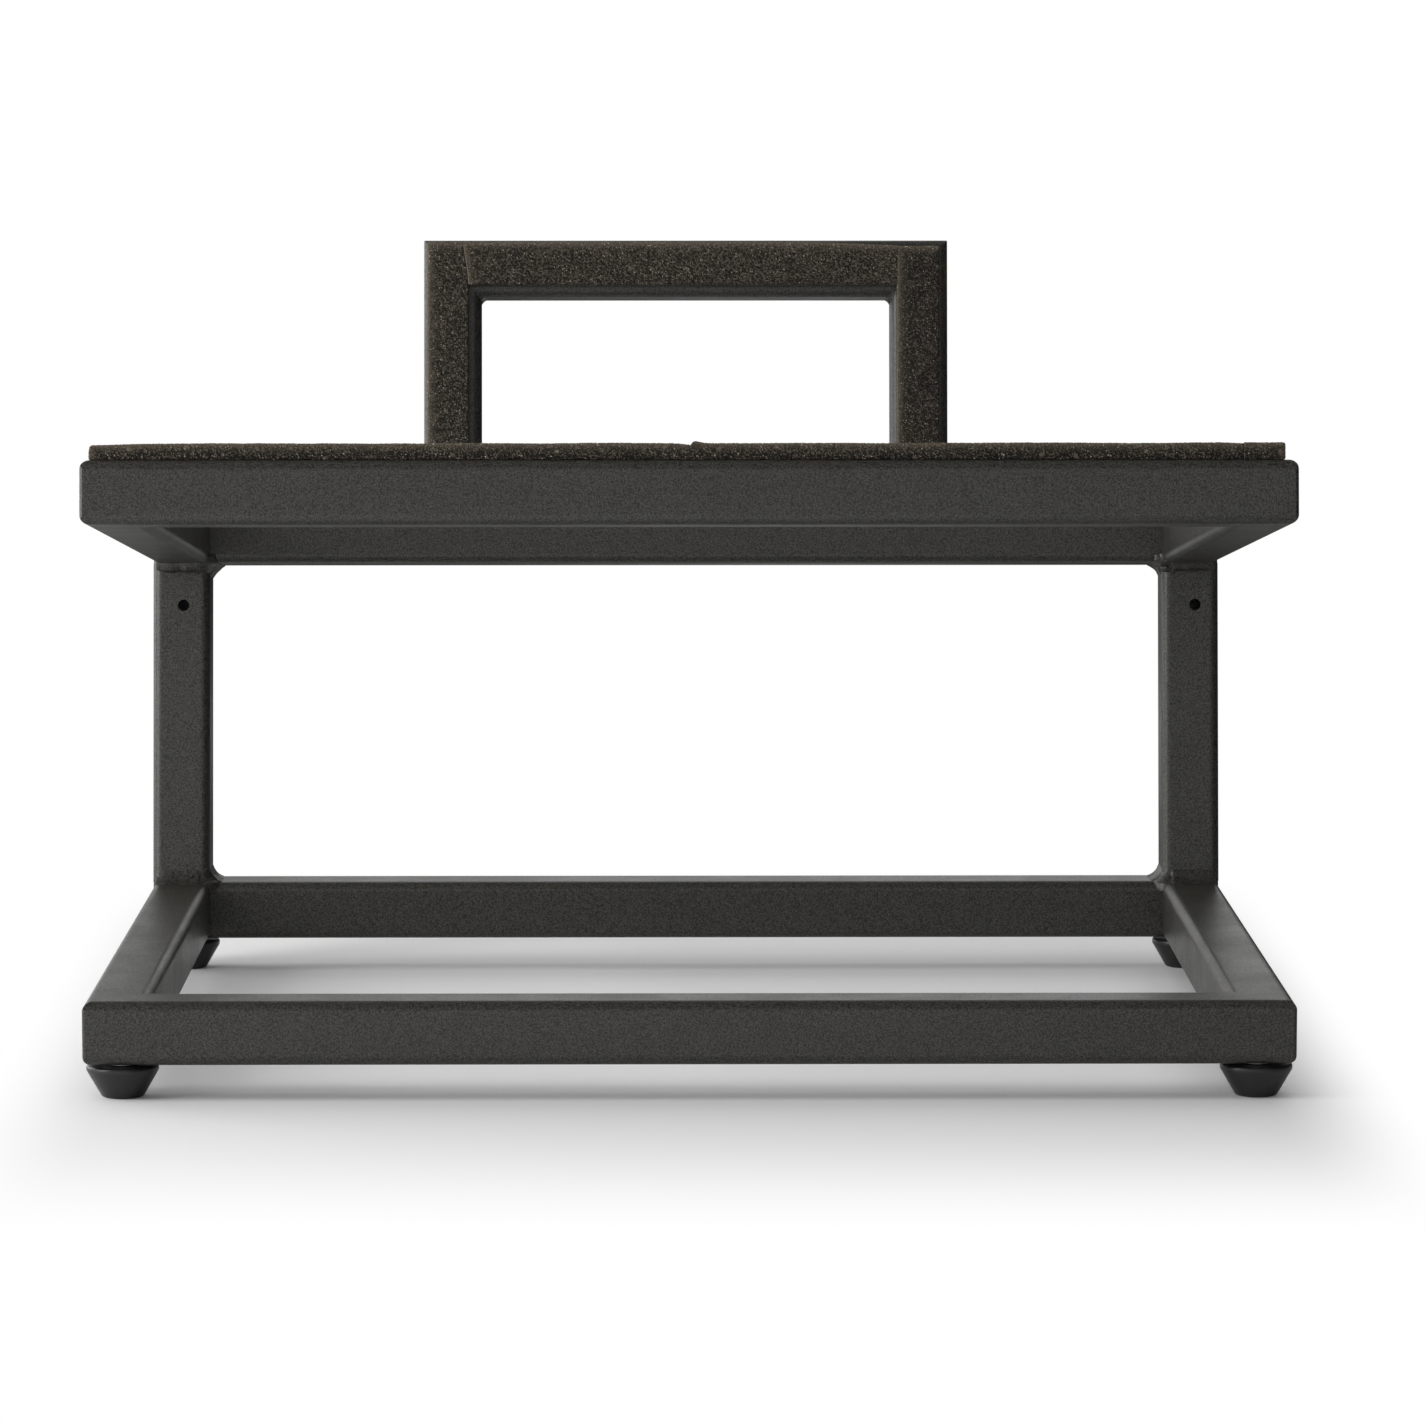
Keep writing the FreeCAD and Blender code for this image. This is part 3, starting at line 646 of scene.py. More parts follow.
def spatter(centre, radii, seed):
    """A drop of weld metal: an uneven, flattened ball. Its centre and radii are in millimetres."""
    bm = bmesh.new()
    middle = Vector(centre) * MM
    bmesh.ops.create_uvsphere(bm, u_segments=28, v_segments=18, radius=1.0,
                              matrix=Matrix.LocRotScale(middle, None, Vector(radii) * MM))
    for vertex in bm.verts:
        wave = noise.noise(vertex.co / DROP_LUMP_WIDTH + Vector((seed, 0, 0)))
        vertex.co += (vertex.co - middle) * DROP_SWING * wave
    return bm


def axes_matrix(x_axis, y_axis, z_axis, origin):
    """The matrix that lays a shape along three axes at a place."""
    matrix = Matrix((x_axis, y_axis, z_axis)).transposed().to_4x4()
    matrix.translation = origin
    return matrix


def post_joint(bm, weld, place, size, seed, hollow, front=(1.0, 0.0), drops=()):
    """The weld at one end of a post: a bead on two faces, flush metal on the others, and stray drops."""
    runs = (length - TUBE_CORNER - RUN_OUT for length in (size.x, size.y))
    join(bm, post_bead(weld.post_leg, hollow, TUBE_CORNER, *runs, seed, weld.lumps, front), place)
    join(bm, notch_filler(size, TUBE_CORNER, seed), place)
    for centre, radii in drops:
        join(bm, spatter(centre, radii, seed), place)


def weld_pieces(finish, beads):
    """Turn each named bmesh of beads into a piece that stands for the CAD's welds."""
    for name, bm in beads.items():
        new_piece(f"{name}_beads", bm, finish, FRAME_BODY, [f"{name}_welds"], WELD_SHARP)


# Foam strips: axes, and sides as an axis with 0 for its low end or 1 for its high end
X, Y, Z = range(3)
LEFT, RIGHT, FRONT, REAR, BELOW = (X, 0), (X, 1), (Y, 0), (Y, 1), (Z, 0)

# Sides that meet another strip are less rounded; cut edges are pale for a little way in, partly from wear
# and partly as painted light where they catch the light
SNUG_ROUNDING = 0.3
PALE_REACH, PALE_FALL = 1.6 * MM, 1.4

# Width and height of the slow and the quick unevenness of the open face
WAVES = ((26 * MM, 0.16 * MM), (7 * MM, 0.09 * MM))

# How much of the tube's rounding the open face follows, how far out the rounding is followed,
# and how slanted ends lean
FACE_FOLLOWS, ROUNDING_SHARE = 0.4, 0.95
SLANT_REACH, SLANT_POWER = 1.5 * MM, 4

# Width of the cell walls, the least gape of a cell, and how high above the glue the cells are whole
CELL_WALL, LEAST_GAPE, GLUED_SHARE = 0.25, 0.35, 0.08

# Where the noise of each cell and of each strip starts, so that no two look alike
CELL_SEED, STRIP_SEED = 3.1, 0.37

# The backrest's cells gape less than the shelf's and take less painted shade
BACKREST_CELLS = {"openness": 0.6, "contrast": 0.75}


def foam_grid(low, high, facet):
    """A box of square-ish faces between two corners."""
    bm = bmesh.new()
    bmesh.ops.create_cube(bm, size=1.0, matrix=box_between(low, high))
    for axis, length in enumerate(high - low):
        along = [edge for edge in bm.edges
                 if abs(edge.verts[0].co[axis] - edge.verts[1].co[axis]) > length / 2]
        bmesh.ops.subdivide_edges(bm, edges=along, cuts=max(3, round(length / facet)) - 1,
                                  use_grid_fill=True)
    return bm


def rounding_drop(across, tube, axis):
    """How far a tube's face falls away at places across it."""
    low, high = leaning_box(tube)
    flat = (high[axis] - low[axis]) / 2 - TUBE_CORNER
    past = np.abs(across - (low[axis] + high[axis]) / 2) - flat
    past = np.clip(past, 0, ROUNDING_SHARE * TUBE_CORNER)
    return TUBE_CORNER - np.sqrt(TUBE_CORNER ** 2 - past ** 2)


def edge_closeness(points, low, high, hidden):
    """1 along the strip's open edges, falling to 0 a little way in from them."""
    gaps = np.concatenate([points - low, high - points], axis=1)
    for axis, side in hidden:
        gaps[:, axis + 3 * side] = 1.0
    return np.exp(-((np.sort(gaps, axis=1)[:, 1] / PALE_REACH) ** PALE_FALL))


def soften_edges(points, low, high, edge, snug):
    """Round the edges of a strip's box, less where it meets another strip."""
    soft = np.full((2, 3), edge)
    for axis, side in snug:
        soft[side, axis] *= SNUG_ROUNDING
    inner = np.clip(points, low + soft[0], high - soft[1])
    away = points - inner
    length = np.linalg.norm(away / np.where(away < 0, soft[0], soft[1]), axis=1, keepdims=True)
    return inner + away / np.maximum(length, 1e-9)


def bell(distance, reach):
    """1 at no distance, falling softly to 0 beyond the reach."""
    return np.exp(-((distance / reach) ** 2))


def cut_cells(points, foam, seed, openness, contrast, tone):
    """How deep the cells are at each point, from 0 to 1, and how pale their walls are, darker inside the
    cells as painted shade.
    """
    depth, wall = np.empty(len(points)), np.empty(len(points), np.float32)
    for index, point in enumerate(points):
        gaps, centres = noise.voronoi(Vector(point) / foam.cell + seed)
        inside = min(1.0, max(0.0, (gaps[1] - gaps[0]) / CELL_WALL))
        inside = inside * inside * (3 - 2 * inside)
        draw = abs(noise.noise(centres[0] * CELL_SEED))
        gape = openness * (LEAST_GAPE + (1 - LEAST_GAPE) * draw)
        depth[index] = inside * gape
        wall[index] = tone * (1 - contrast * inside * (0.5 + 0.5 * gape))
    return depth, wall


def foam_strip(foam, name, tube, long_axis, contact, swells, slants=(0.0, 0.0),
               grow=((0, 0, 0), (0, 0, 0)), snug=(), plain=(), nudges=(),
               openness=1.0, contrast=1.0, tone=1.0):
    """A foam strip: soft cut edges, an uneven open face and cells cut open all over it.

    contact is the side that lies on the tube. Lengths are in millimetres. Each swell is (place along
    the strip, reach, rise), with a negative place measured from the far end. slants push the upper
    part of both ends inwards. grow moves the low and high corner of the CAD strip's box. snug lists
    sides that meet another strip, and plain lists sides whose edges aren't pale. Each nudge is
    (middle in metres, reach, shift) and pushes the foam round its middle. openness says how far the
    cells gape, contrast how much painted shade darkens them in the face, and tone how pale their walls are.
    """
    low, high = (corner + Vector(more) * MM for corner, more in zip(leaning_box(name), grow))
    bm = foam_grid(low, high, foam.facet)
    piece = new_piece(f"{name}_strip", bm, open_cell_foam(foam), FRAME_BODY, [name])
    mesh = piece.data
    points = np.empty(len(mesh.vertices) * 3)
    mesh.vertices.foreach_get("co", points)
    points = points.reshape(-1, 3)
    low, high = np.array(low), np.array(high)
    axis, glued_high = contact
    height = (points[:, axis] - low[axis]) / (high[axis] - low[axis])
    height, out = (1 - height, -1.0) if glued_high else (height, 1.0)
    # Pale cut edges: partly wear, partly painted light along the edges that catch the light
    pale = edge_closeness(points, low, high, [*plain, contact]).astype(np.float32)
    points = soften_edges(points, low, high, foam.edge, snug)

    along = points[:, long_axis] - low[long_axis]
    run = high[long_axis] - low[long_axis]
    seed = Vector((sum(map(ord, name)) * STRIP_SEED, 0.0, 0.0))
    swell = np.array([sum(noise.noise(Vector(point) / width + seed) * rise for width, rise in WAVES)
                      for point in points])
    for at, reach, rise in swells:
        middle = at * MM if at >= 0 else run + at * MM
        swell = swell + rise * MM * bell(along - middle, reach * MM)
    points[:, axis] += out * swell * height
    across = X + Y + Z - axis - long_axis
    follow = 1 - (1 - FACE_FOLLOWS) * height
    points[:, axis] -= out * follow * rounding_drop(points[:, across], tube, across)
    for slant, way in zip((slants[0], -slants[1]), (along, run - along)):
        points[:, long_axis] += slant * MM * height ** SLANT_POWER * bell(way, SLANT_REACH)
    for middle, reach, shift in nudges:
        away = (points - np.array(middle)) / (np.array(reach) * MM)
        points += np.exp(-(away ** 2).sum(axis=1))[:, None] * (np.array(shift) * MM)
    mesh.vertices.foreach_set("co", points.ravel())
    mesh.update()

    normals = np.empty(points.size, np.float32)
    mesh.vertex_normals.foreach_get("vector", normals)
    depth, wall = cut_cells(points, foam, seed, openness, contrast, tone)
    shown = np.clip(height / GLUED_SHARE, 0, 1)
    points = points - normals.reshape(-1, 3) * (depth * foam.depth * shown)[:, None]
    mesh.vertices.foreach_set("co", points.ravel())
    for attribute, values in (("cell_wall", wall), ("pale_edge", pale)):
        mesh.attributes.new(attribute, "FLOAT", "POINT").data.foreach_set("value", values)
    mesh.transform(TILT)
    mesh.update()


# Threads: each point of one ridge as a share of the thread's depth and of its pitch.
# A few spare turns are cut off flush at both ends
RIDGE = ((0, 0.0), (0, 0.12), (1, 0.50), (1, 0.62), (0, 1.0))
SPARE_TURNS = 3
THREAD_MERGE, CUT_DISTANCE, FLUSH = 0.02 * MM, 1e-7, 1e-6


def threaded_rod(radius, depth, pitch, sides, bottom, top):
    """A rod along Z with a helical thread and chamfered ends."""
    bm = bmesh.new()
    start = bottom - SPARE_TURNS / 2 * pitch
    turns = math.ceil((top - bottom) / pitch) + SPARE_TURNS
    core = radius - depth
    ridge = [bm.verts.new((core + out * depth, 0, start + rise * pitch)) for out, rise in RIDGE]
    line = [bm.edges.new(pair) for pair in zip(ridge, ridge[1:])]
    bmesh.ops.spin(bm, geom=ridge + line, cent=(0, 0, 0), axis=(0, 0, 1), dvec=(0, 0, pitch / sides),
                   angle=2 * math.pi * turns, steps=sides * turns)
    bmesh.ops.remove_doubles(bm, verts=bm.verts, dist=THREAD_MERGE)
    for height, outward in ((bottom, -1), (top, 1)):
        bmesh.ops.bisect_plane(bm, geom=[*bm.verts, *bm.edges, *bm.faces], dist=CUT_DISTANCE,
                               clear_outer=True, plane_co=(0, 0, height), plane_no=(0, 0, outward))
        rim = [edge for edge in bm.edges
               if edge.is_boundary and all(abs(v.co.z - height) < FLUSH for v in edge.verts)]
        bmesh.ops.holes_fill(bm, edges=rim)
    for vertex in bm.verts:
        chamfer = core + min(vertex.co.z - bottom, top - vertex.co.z)
        reach = math.hypot(vertex.co.x, vertex.co.y)
        if reach > chamfer:
            vertex.co.x *= chamfer / reach
            vertex.co.y *= chamfer / reach
    return bm


# Feet: faces across a rounded edge
FOOT_ROUND = 6


def ring_edges(bm, radius, height):
    """Edges of the circle at a radius and height."""
    return [edge for edge in bm.edges if all(
        abs(math.hypot(v.co.x, v.co.y) - radius) < MERGE and abs(v.co.z - height) < MERGE
        for v in edge.verts)]


def turned_foot(hardware, radius, height):
    """A tapered foot standing on Z = 0, with a rounded rim and a bore for its stud."""
    bm = bmesh.new()
    crease, bore_end = height - hardware.rim_height, height - hardware.bore_depth
    outline = ((0.0, 0.0), (hardware.low_radius, 0.0), (radius, crease), (radius, height),
               (hardware.bore, height), (hardware.bore, bore_end), (0.0, bore_end))
    points = [bm.verts.new((r, 0, z)) for r, z in outline]
    line = [bm.edges.new(pair) for pair in zip(points, points[1:])]
    bmesh.ops.spin(bm, geom=points + line, cent=(0, 0, 0), axis=(0, 0, 1), angle=2 * math.pi,
                   steps=hardware.foot_sides, use_merge=True)
    bmesh.ops.remove_doubles(bm, verts=bm.verts, dist=MERGE)
    for r, z, rounding in ((hardware.low_radius, 0.0, hardware.toe_edge),
                           (radius, crease, hardware.crease_edge), (radius, height, hardware.rim_edge)):
        bmesh.ops.bevel(bm, geom=ring_edges(bm, r, z), offset=rounding, segments=FOOT_ROUND, profile=0.5,
                        affect="EDGES", material=-1)
    return bm


def stand_on(bm, low, high):
    """Move a shape from the origin to the middle of a box's lower face."""
    middle = (low + high) / 2
    bmesh.ops.translate(bm, vec=(middle.x, middle.y, low.z), verts=bm.verts)


# Stage: size of the floor in metres, width of the camera's sensor in millimetres
FLOOR_SIZE, SENSOR = 20.0, 36.0

# Size, place and aim of each softbox in metres; its power is the setting of the same name
SOFTBOXES = {
    "key": ((0.5, 0.9), (-1.1, -0.5, 0.55), (0.0, 0.0, 0.08)),
    "side": ((0.3, 0.4), (-0.85, 0.35, 0.22), (0.0, 0.0, 0.12)),
    "rim": ((0.5, 0.44), (-0.95, 1.55, 0.23), (0.0, 0.0, 0.1)),
    "overhead": ((3.2, 3.2), (0.0, 0.45, 1.75), (0.0, 0.1, 0.0)),
}

# Floor inside the base, where reflections are dimmed more as painted shade under the stand, in metres from
# the stand's middle
INSIDE_X, INSIDE_FRONT, INSIDE_REAR = (0.12, 0.17), (-0.13, -0.08), (0.04, 0.09)
DIMMING = (0.15, 0.65)

# Floor that keeps its shadow for the camera, and floor that turns white in reflections
SHADOW_X, SHADOW_Y, SHADOW_KEPT = (0.176, 0.222), (0.18, 0.37), (0.97, 0.0)
MIRRORED_X, MIRRORED_Y = (0.21, 0.40), (0.17, 0.40)

# White floor as the coat mirrors it: a band behind, the front, the far left, and a darker part behind
BAND_NEAR, BAND_FAR = (0.55, 0.68), (0.90, 1.15)
FRONT_END, FRONT_LEVEL, BEYOND_LEVEL = (0.10, 0.22), (1.0, 0.35), (1.0, 0.1)
FAR_LEFT = (-0.65, -0.35)
DARK_Y, DARK_X, DARK_LEVEL = (0.0, 0.2), (-0.16, 0.1), (0.6, 0.0)

# White studio by direction: level in front and behind as spans of X and Z, and where they meet in Y
BEFORE_X, BEFORE_RIGHT, BEFORE_Z, HIGH_LEVEL = (0.0, 0.8), (1.0, 0.06), (0.12, 0.52), (1.0, 0.25)
NOTCH_LEFT, NOTCH_RIGHT, NOTCH_DEPTH = (-0.45, -0.25), (-0.14, 0.03), (0.0, 0.4)
BEHIND_X, BEHIND_RIGHT = (0.06, 0.30), (1.0, 0.05)
BEHIND_LOW, LOW_LEVEL, BEHIND_HIGH = (-0.06, 0.04), (0.12, 1.0), (0.35, 0.90)
BACK_Y = (-0.2, 0.45)


def studio_group():
    """Studio light: how bright the white studio is in a direction; its right side is screened off."""
    if "Studio light" in bpy.data.node_groups:
        return bpy.data.node_groups["Studio light"]
    tree, given = new_group("Studio light", {}, ("Level",))
    x, y, z = add(tree, "ShaderNodeSeparateXYZ", {0: given["Vector"]}).outputs
    before = times(tree, spread(tree, x, BEFORE_X, BEFORE_RIGHT), spread(tree, z, BEFORE_Z, HIGH_LEVEL))
    notch = times(tree, spread(tree, x, NOTCH_LEFT, NOTCH_DEPTH), spread(tree, x, NOTCH_RIGHT, FALL))
    behind = times(tree, spread(tree, x, BEHIND_X, BEHIND_RIGHT), rest_of(tree, notch),
                   spread(tree, z, BEHIND_LOW, LOW_LEVEL), spread(tree, z, BEHIND_HIGH, HIGH_LEVEL))
    back = spread(tree, y, BACK_Y)
    level = maths(tree, "ADD", times(tree, behind, back), times(tree, before, rest_of(tree, back)))
    add(tree, "NodeGroupOutput", {"Level": level})
    return tree


def white_share(tree, x, y, direct, glossy):
    """How far the floor is plain white: beyond the shadow for the camera, further out in reflections."""
    x, y = maths(tree, "ABSOLUTE", x), maths(tree, "ABSOLUTE", y)
    shadow = times(tree, spread(tree, x, SHADOW_X, FALL), spread(tree, y, SHADOW_Y, SHADOW_KEPT))
    further = highest(tree, spread(tree, x, MIRRORED_X), spread(tree, y, MIRRORED_Y))
    return highest(tree, times(tree, rest_of(tree, shadow), direct), times(tree, further, glossy))


def mirrored_level(tree, place, x, y):
    """How bright the white floor is where the coat mirrors it."""
    outward = add(tree, "ShaderNodeVectorMath", {0: place}, operation="NORMALIZE").outputs[0]
    band = times(tree, spread(tree, y, BAND_NEAR), spread(tree, y, BAND_FAR, FALL))
    front = times(tree, spread(tree, y, FRONT_END, FRONT_LEVEL), spread(tree, y, BAND_FAR, BEYOND_LEVEL))
    lit = highest(tree, front, band, spread(tree, x, FAR_LEFT, FALL))
    dark = times(tree, spread(tree, y, DARK_Y), spread(tree, x, DARK_X, DARK_LEVEL))
    return times(tree, use(tree, studio_group(), Vector=outward), lit, rest_of(tree, dark))


def white_floor(stage):
    """Pale floor that keeps the shadow, is white for the camera further out and graded in reflections."""
    material, tree, shader, place = new_material("studio_floor", Roughness=0.9)
    x, y, _ = add(tree, "ShaderNodeSeparateXYZ", {0: place}).outputs
    path = add(tree, "ShaderNodeLightPath").outputs
    direct = highest(tree, path["Is Camera Ray"], path["Is Transmission Ray"])
    glossy = path["Is Glossy Ray"]
    mottle = use(tree, mottle_group(), Vector=place, Size=0.4)
    tone = blend_colours(tree, mottle, shade(stage.floor, 0.99), stage.floor)
    inside = times(tree, spread(tree, maths(tree, "ABSOLUTE", x), INSIDE_X, FALL),
                   spread(tree, y, INSIDE_FRONT), spread(tree, y, INSIDE_REAR, FALL))
    # Painted shade: for glossy rays the floor's colour darkens towards black, most inside the base, so the
    # coat mirrors a shadow under the stand
    dim = times(tree, glossy, spread(tree, inside, RISE, DIMMING))
    tree.links.new(blend_colours(tree, dim, tone, (0, 0, 0)), shader.inputs["Base Color"])
    level = highest(tree, direct, mirrored_level(tree, place, x, y))
    white = add(tree, "ShaderNodeEmission", {"Color": level, "Strength": 1.0}).outputs[0]
    share = white_share(tree, x, y, direct, glossy)
    mixed = add(tree, "ShaderNodeMixShader", {0: share, 1: shader.outputs[0], 2: white}).outputs[0]
    output = next(node for node in tree.nodes if node.type == "OUTPUT_MATERIAL")
    tree.links.new(mixed, output.inputs["Surface"])
    return material


def lay_floor(stage):
    """Lay the floor under the stand."""
    bm = bmesh.new()
    bmesh.ops.create_grid(bm, x_segments=1, y_segments=1, size=FLOOR_SIZE)
    mesh = bpy.data.meshes.new("studio_floor")
    bm.to_mesh(mesh)
    bm.free()
    floor = bpy.data.objects.new("studio_floor", mesh)
    bpy.context.scene.collection.objects.link(floor)
    mesh.materials.append(white_floor(stage))


def light_world(scene):
    """White for the camera; a directional white studio for everything else."""
    world = bpy.data.worlds.new("studio")
    scene.world = world
    world.use_nodes = True
    tree = world.node_tree
    tree.nodes.clear()
    towards = add(tree, "ShaderNodeTexCoord").outputs["Generated"]
    path = add(tree, "ShaderNodeLightPath").outputs
    level = highest(tree, path["Is Camera Ray"], path["Is Transmission Ray"],
                    use(tree, studio_group(), Vector=towards))
    light = add(tree, "ShaderNodeBackground", {"Color": level, "Strength": 1.0}).outputs[0]
    add(tree, "ShaderNodeOutputWorld", {"Surface": light})


def softbox(name, power, size, place, aim):
    """A rectangular lamp that the camera doesn't see."""
    lamp = bpy.data.lights.new(name, "AREA")
    lamp.shape = "RECTANGLE"
    lamp.size, lamp.size_y = size
    lamp.energy = power
    box = bpy.data.objects.new(name, lamp)
    box.location = place
    box.rotation_euler = (Vector(aim) - Vector(place)).to_track_quat("-Z", "Y").to_euler()
    box.visible_camera = False
    bpy.context.scene.collection.objects.link(box)
    return box


def set_camera(scene, stage):
    """Set the camera at the photograph's viewing angle."""
    camera = bpy.data.objects.new("camera", bpy.data.cameras.new("camera"))
    camera.data.lens = stage.lens
    camera.data.sensor_width = SENSOR
    camera.location = stage.eye
    camera.rotation_euler = (math.pi / 2 - stage.pitch, 0.0, -stage.turn)
    scene.collection.objects.link(camera)
    scene.camera = camera


# Operators
class CoatTubes(bpy.types.Operator):
    """Give the tubes their satin powder coat"""

    bl_idname = "stand.coat_tubes"
    bl_label = "Coat the tubes"

    def execute(self, context):
        finish = powder_coat(context.scene.speaker_stand.coat)
        for name in TUBES:
            for slot in frame["nodes"][name].material_slots:
                slot.material = finish
        return {"FINISHED"}


class WeldPosts(bpy.types.Operator):
    """Lay the weld beads round both ends of the posts"""

    bl_idname = "stand.weld_posts"
    bl_label = "Weld the posts"

    def execute(self, context):
        settings = context.scene.speaker_stand
        base_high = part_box("base_rear_bar")[1]
        shelf_low, shelf_high = leaning_box("shelf_rear_bar")
        feet, heads = bmesh.new(), bmesh.new()
        for hand, name in ((-1, "left_post"), (1, "right_post")):
            low, high = leaning_box(name)
            side = high.x - low.x
            inner = high.x if hand < 0 else low.x
            depth = side / math.cos(LEAN)
            place = axes_matrix((-hand, 0, 0), (0, -1, 0), (0, math.tan(LEAN), 1),
                                (inner, base_high.y - depth, base_high.z))
            post_joint(feet, settings.weld, place, Vector((side, depth, 0)), FOOT_SEED + hand, POST_HOLLOW,
                       drops=LEFT_FOOT_DROPS if hand < 0 else ())
            place = TILT @ axes_matrix((-hand, 0, 0), (0, -1, 0), (0, 0, -1),
                                       (inner, shelf_high.y - side, shelf_low.z))
            hollow, drops = (LEFT_HEAD_HOLLOW, ()) if hand < 0 else (POST_HOLLOW, RIGHT_HEAD_DROPS)
            post_joint(heads, settings.weld, place, Vector((side, side, 0)), HEAD_SEED + hand, hollow,
                       HEAD_FRONT, drops)
        weld_pieces(powder_coat(settings.coat), {"post_foot": feet, "post_head": heads})
        return {"FINISHED"}


class WeldBackrest(bpy.types.Operator):
    """Lay the weld beads at the backrest's feet and in its upper corners"""

    bl_idname = "stand.weld_backrest"
    bl_label = "Weld the backrest"

    def execute(self, context):
        settings = context.scene.speaker_stand
        weld = settings.weld
        joint = leaning_box("shelf_rear_bar")[1].z
        ceiling = leaning_box("backrest_top_bar")[0].z
        over = CORNER_OVERLAP * TUBE_CORNER
        feet, corners = bmesh.new(), bmesh.new()
        for hand, name in ((-1, "backrest_left_leg"), (1, "backrest_right_leg")):
            low, high = leaning_box(name)
            side = high.y - low.y
            run = side - 2 * TUBE_CORNER
            rear = high.y - TUBE_CORNER
            for seed, x, out in ((1.0, low.x, -1), (2.0, high.x, 1)):
                bead = post_bead(weld.backrest_leg, BACKREST_HOLLOW, 0.0, run, 0.0, seed + hand,
                                 BACKREST_LUMPS * weld.lumps)
                place = axes_matrix((0, 1, 0), (out, 0, 0), (0, 0, 1), (x, rear, joint))
                join(feet, bead, TILT @ place)
            filler = notch_filler(Vector((high.x - low.x, side, 0)), TUBE_CORNER, FILLER_SEED + hand)
            join(feet, filler, TILT @ Matrix.Translation((high.x, high.y, joint)))
            bead = post_bead(weld.corner_leg, CORNER_HOLLOW, 0.0, run + 2 * over, 0.0, CORNER_SEED + hand,
                             CORNER_LUMPS * weld.lumps)
            bmesh.ops.translate(bead, vec=(over, 0, 0), verts=bead.verts)
            follow_valley(bead, run, TUBE_CORNER)
            inner = high.x if hand < 0 else low.x
            place = axes_matrix((0, 1, 0), (-hand, 0, 0), (0, 0, -1), (inner, rear, ceiling))
            join(corners, bead, TILT @ place)
        weld_pieces(powder_coat(settings.coat), {"backrest_foot": feet, "backrest_corner": corners})
        return {"FINISHED"}


class LayShelfFoam(bpy.types.Operator):
    """Stick the four foam strips on the shelf"""

    bl_idname = "stand.lay_shelf_foam"
    bl_label = "Lay the shelf foam"

    def execute(self, context):
        foam = context.scene.speaker_stand.foam
        foam_strip(foam, "shelf_foam_front_left", "shelf_front_bar", X, BELOW,
                   [(0.0, 15, -0.6), (-0.1, 2.6, -0.45)], slants=(0.5, 0.0),
                   grow=((-0.8, 0, 0), (0.4, 0, 0)), snug=(RIGHT, REAR), plain=(RIGHT, REAR))
        foam_strip(foam, "shelf_foam_front_right", "shelf_front_bar", X, BELOW,
                   [(1.8, 2.6, 0.6), (-0.1, 4, -0.2)], slants=(1.0, 0.0),
                   grow=((-0.3, 0, 0), (0.2, 0, 0)), snug=(LEFT, RIGHT, REAR), plain=(LEFT, RIGHT, REAR))
        foam_strip(foam, "shelf_foam_left_side", "shelf_left_bar", Y, BELOW, [(-0.1, 6, -0.5)],
                   grow=((-0.3, -0.16, 0), (0, 0, 0)), snug=(FRONT,), plain=(FRONT,))
        foam_strip(foam, "shelf_foam_right_side", "shelf_right_bar", Y, BELOW,
                   [(0.0, 5, 0.15), (-0.1, 5, -0.4)],
                   grow=((-0.16, 0, 0), (-0.5, 0, 0)), snug=(LEFT,), plain=(LEFT,))
        return {"FINISHED"}


class LayBackrestFoam(bpy.types.Operator):
    """Stick the three foam strips on the backrest"""

    bl_idname = "stand.lay_backrest_foam"
    bl_label = "Lay the backrest foam"

    def execute(self, context):
        foam = context.scene.speaker_stand.foam
        low, high = leaning_box("backrest_foam_top")
        pressed = ((low.x, low.y, high.z), (4, 100, 9), (-1.9, 0, 0))
        drooped = ((high.x, low.y, high.z), (18, 100, 6), (0, 0, -1.1))
        # Painted shade and light: the right strip's walls are darkest, away from the light on the left, and
        # only the left and upper edges are pale where the light catches them
        foam_strip(foam, "backrest_foam_left", "backrest_left_leg", Z, REAR, [(-0.1, 4, -0.2)],
                   grow=((-0.1, 0, 0), (-0.3, 0, -0.4)), snug=(RIGHT,), plain=(RIGHT, BELOW),
                   nudges=(pressed,), tone=0.86, **BACKREST_CELLS)
        foam_strip(foam, "backrest_foam_right", "backrest_right_leg", Z, REAR, [(-0.1, 4, -0.2)],
                   grow=((-0.2, 0, 0), (0, 0, 0)), snug=(LEFT,), plain=(RIGHT, BELOW),
                   tone=0.79, **BACKREST_CELLS)
        foam_strip(foam, "backrest_foam_top", "backrest_top_bar", X, REAR, [(0.0, 3, 0.25)],
                   grow=((-0.6, 0, 0), (0.5, 0, -0.4)), snug=(LEFT, RIGHT), plain=(RIGHT, BELOW),
                   nudges=(pressed, drooped), tone=0.88, **BACKREST_CELLS)
        return {"FINISHED"}


class CutThreads(bpy.types.Operator):
    """Cut the thread of the four studs"""

    bl_idname = "stand.cut_threads"
    bl_label = "Cut the threads"

    def execute(self, context):
        hardware = context.scene.speaker_stand.hardware
        finish = plated_steel("zinc_plated_thread", hardware, dulling=0.0)
        for corner in CORNERS:
            name = f"{corner}_stud"
            low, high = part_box(name)
            bm = threaded_rod((high.x - low.x) / 2, hardware.thread_depth, hardware.pitch,
                              hardware.thread_sides, 0.0, high.z - low.z)
            stand_on(bm, low, high)
            new_piece(f"{name}_thread", bm, finish, name, [name], THREAD_SHARP)
        return {"FINISHED"}


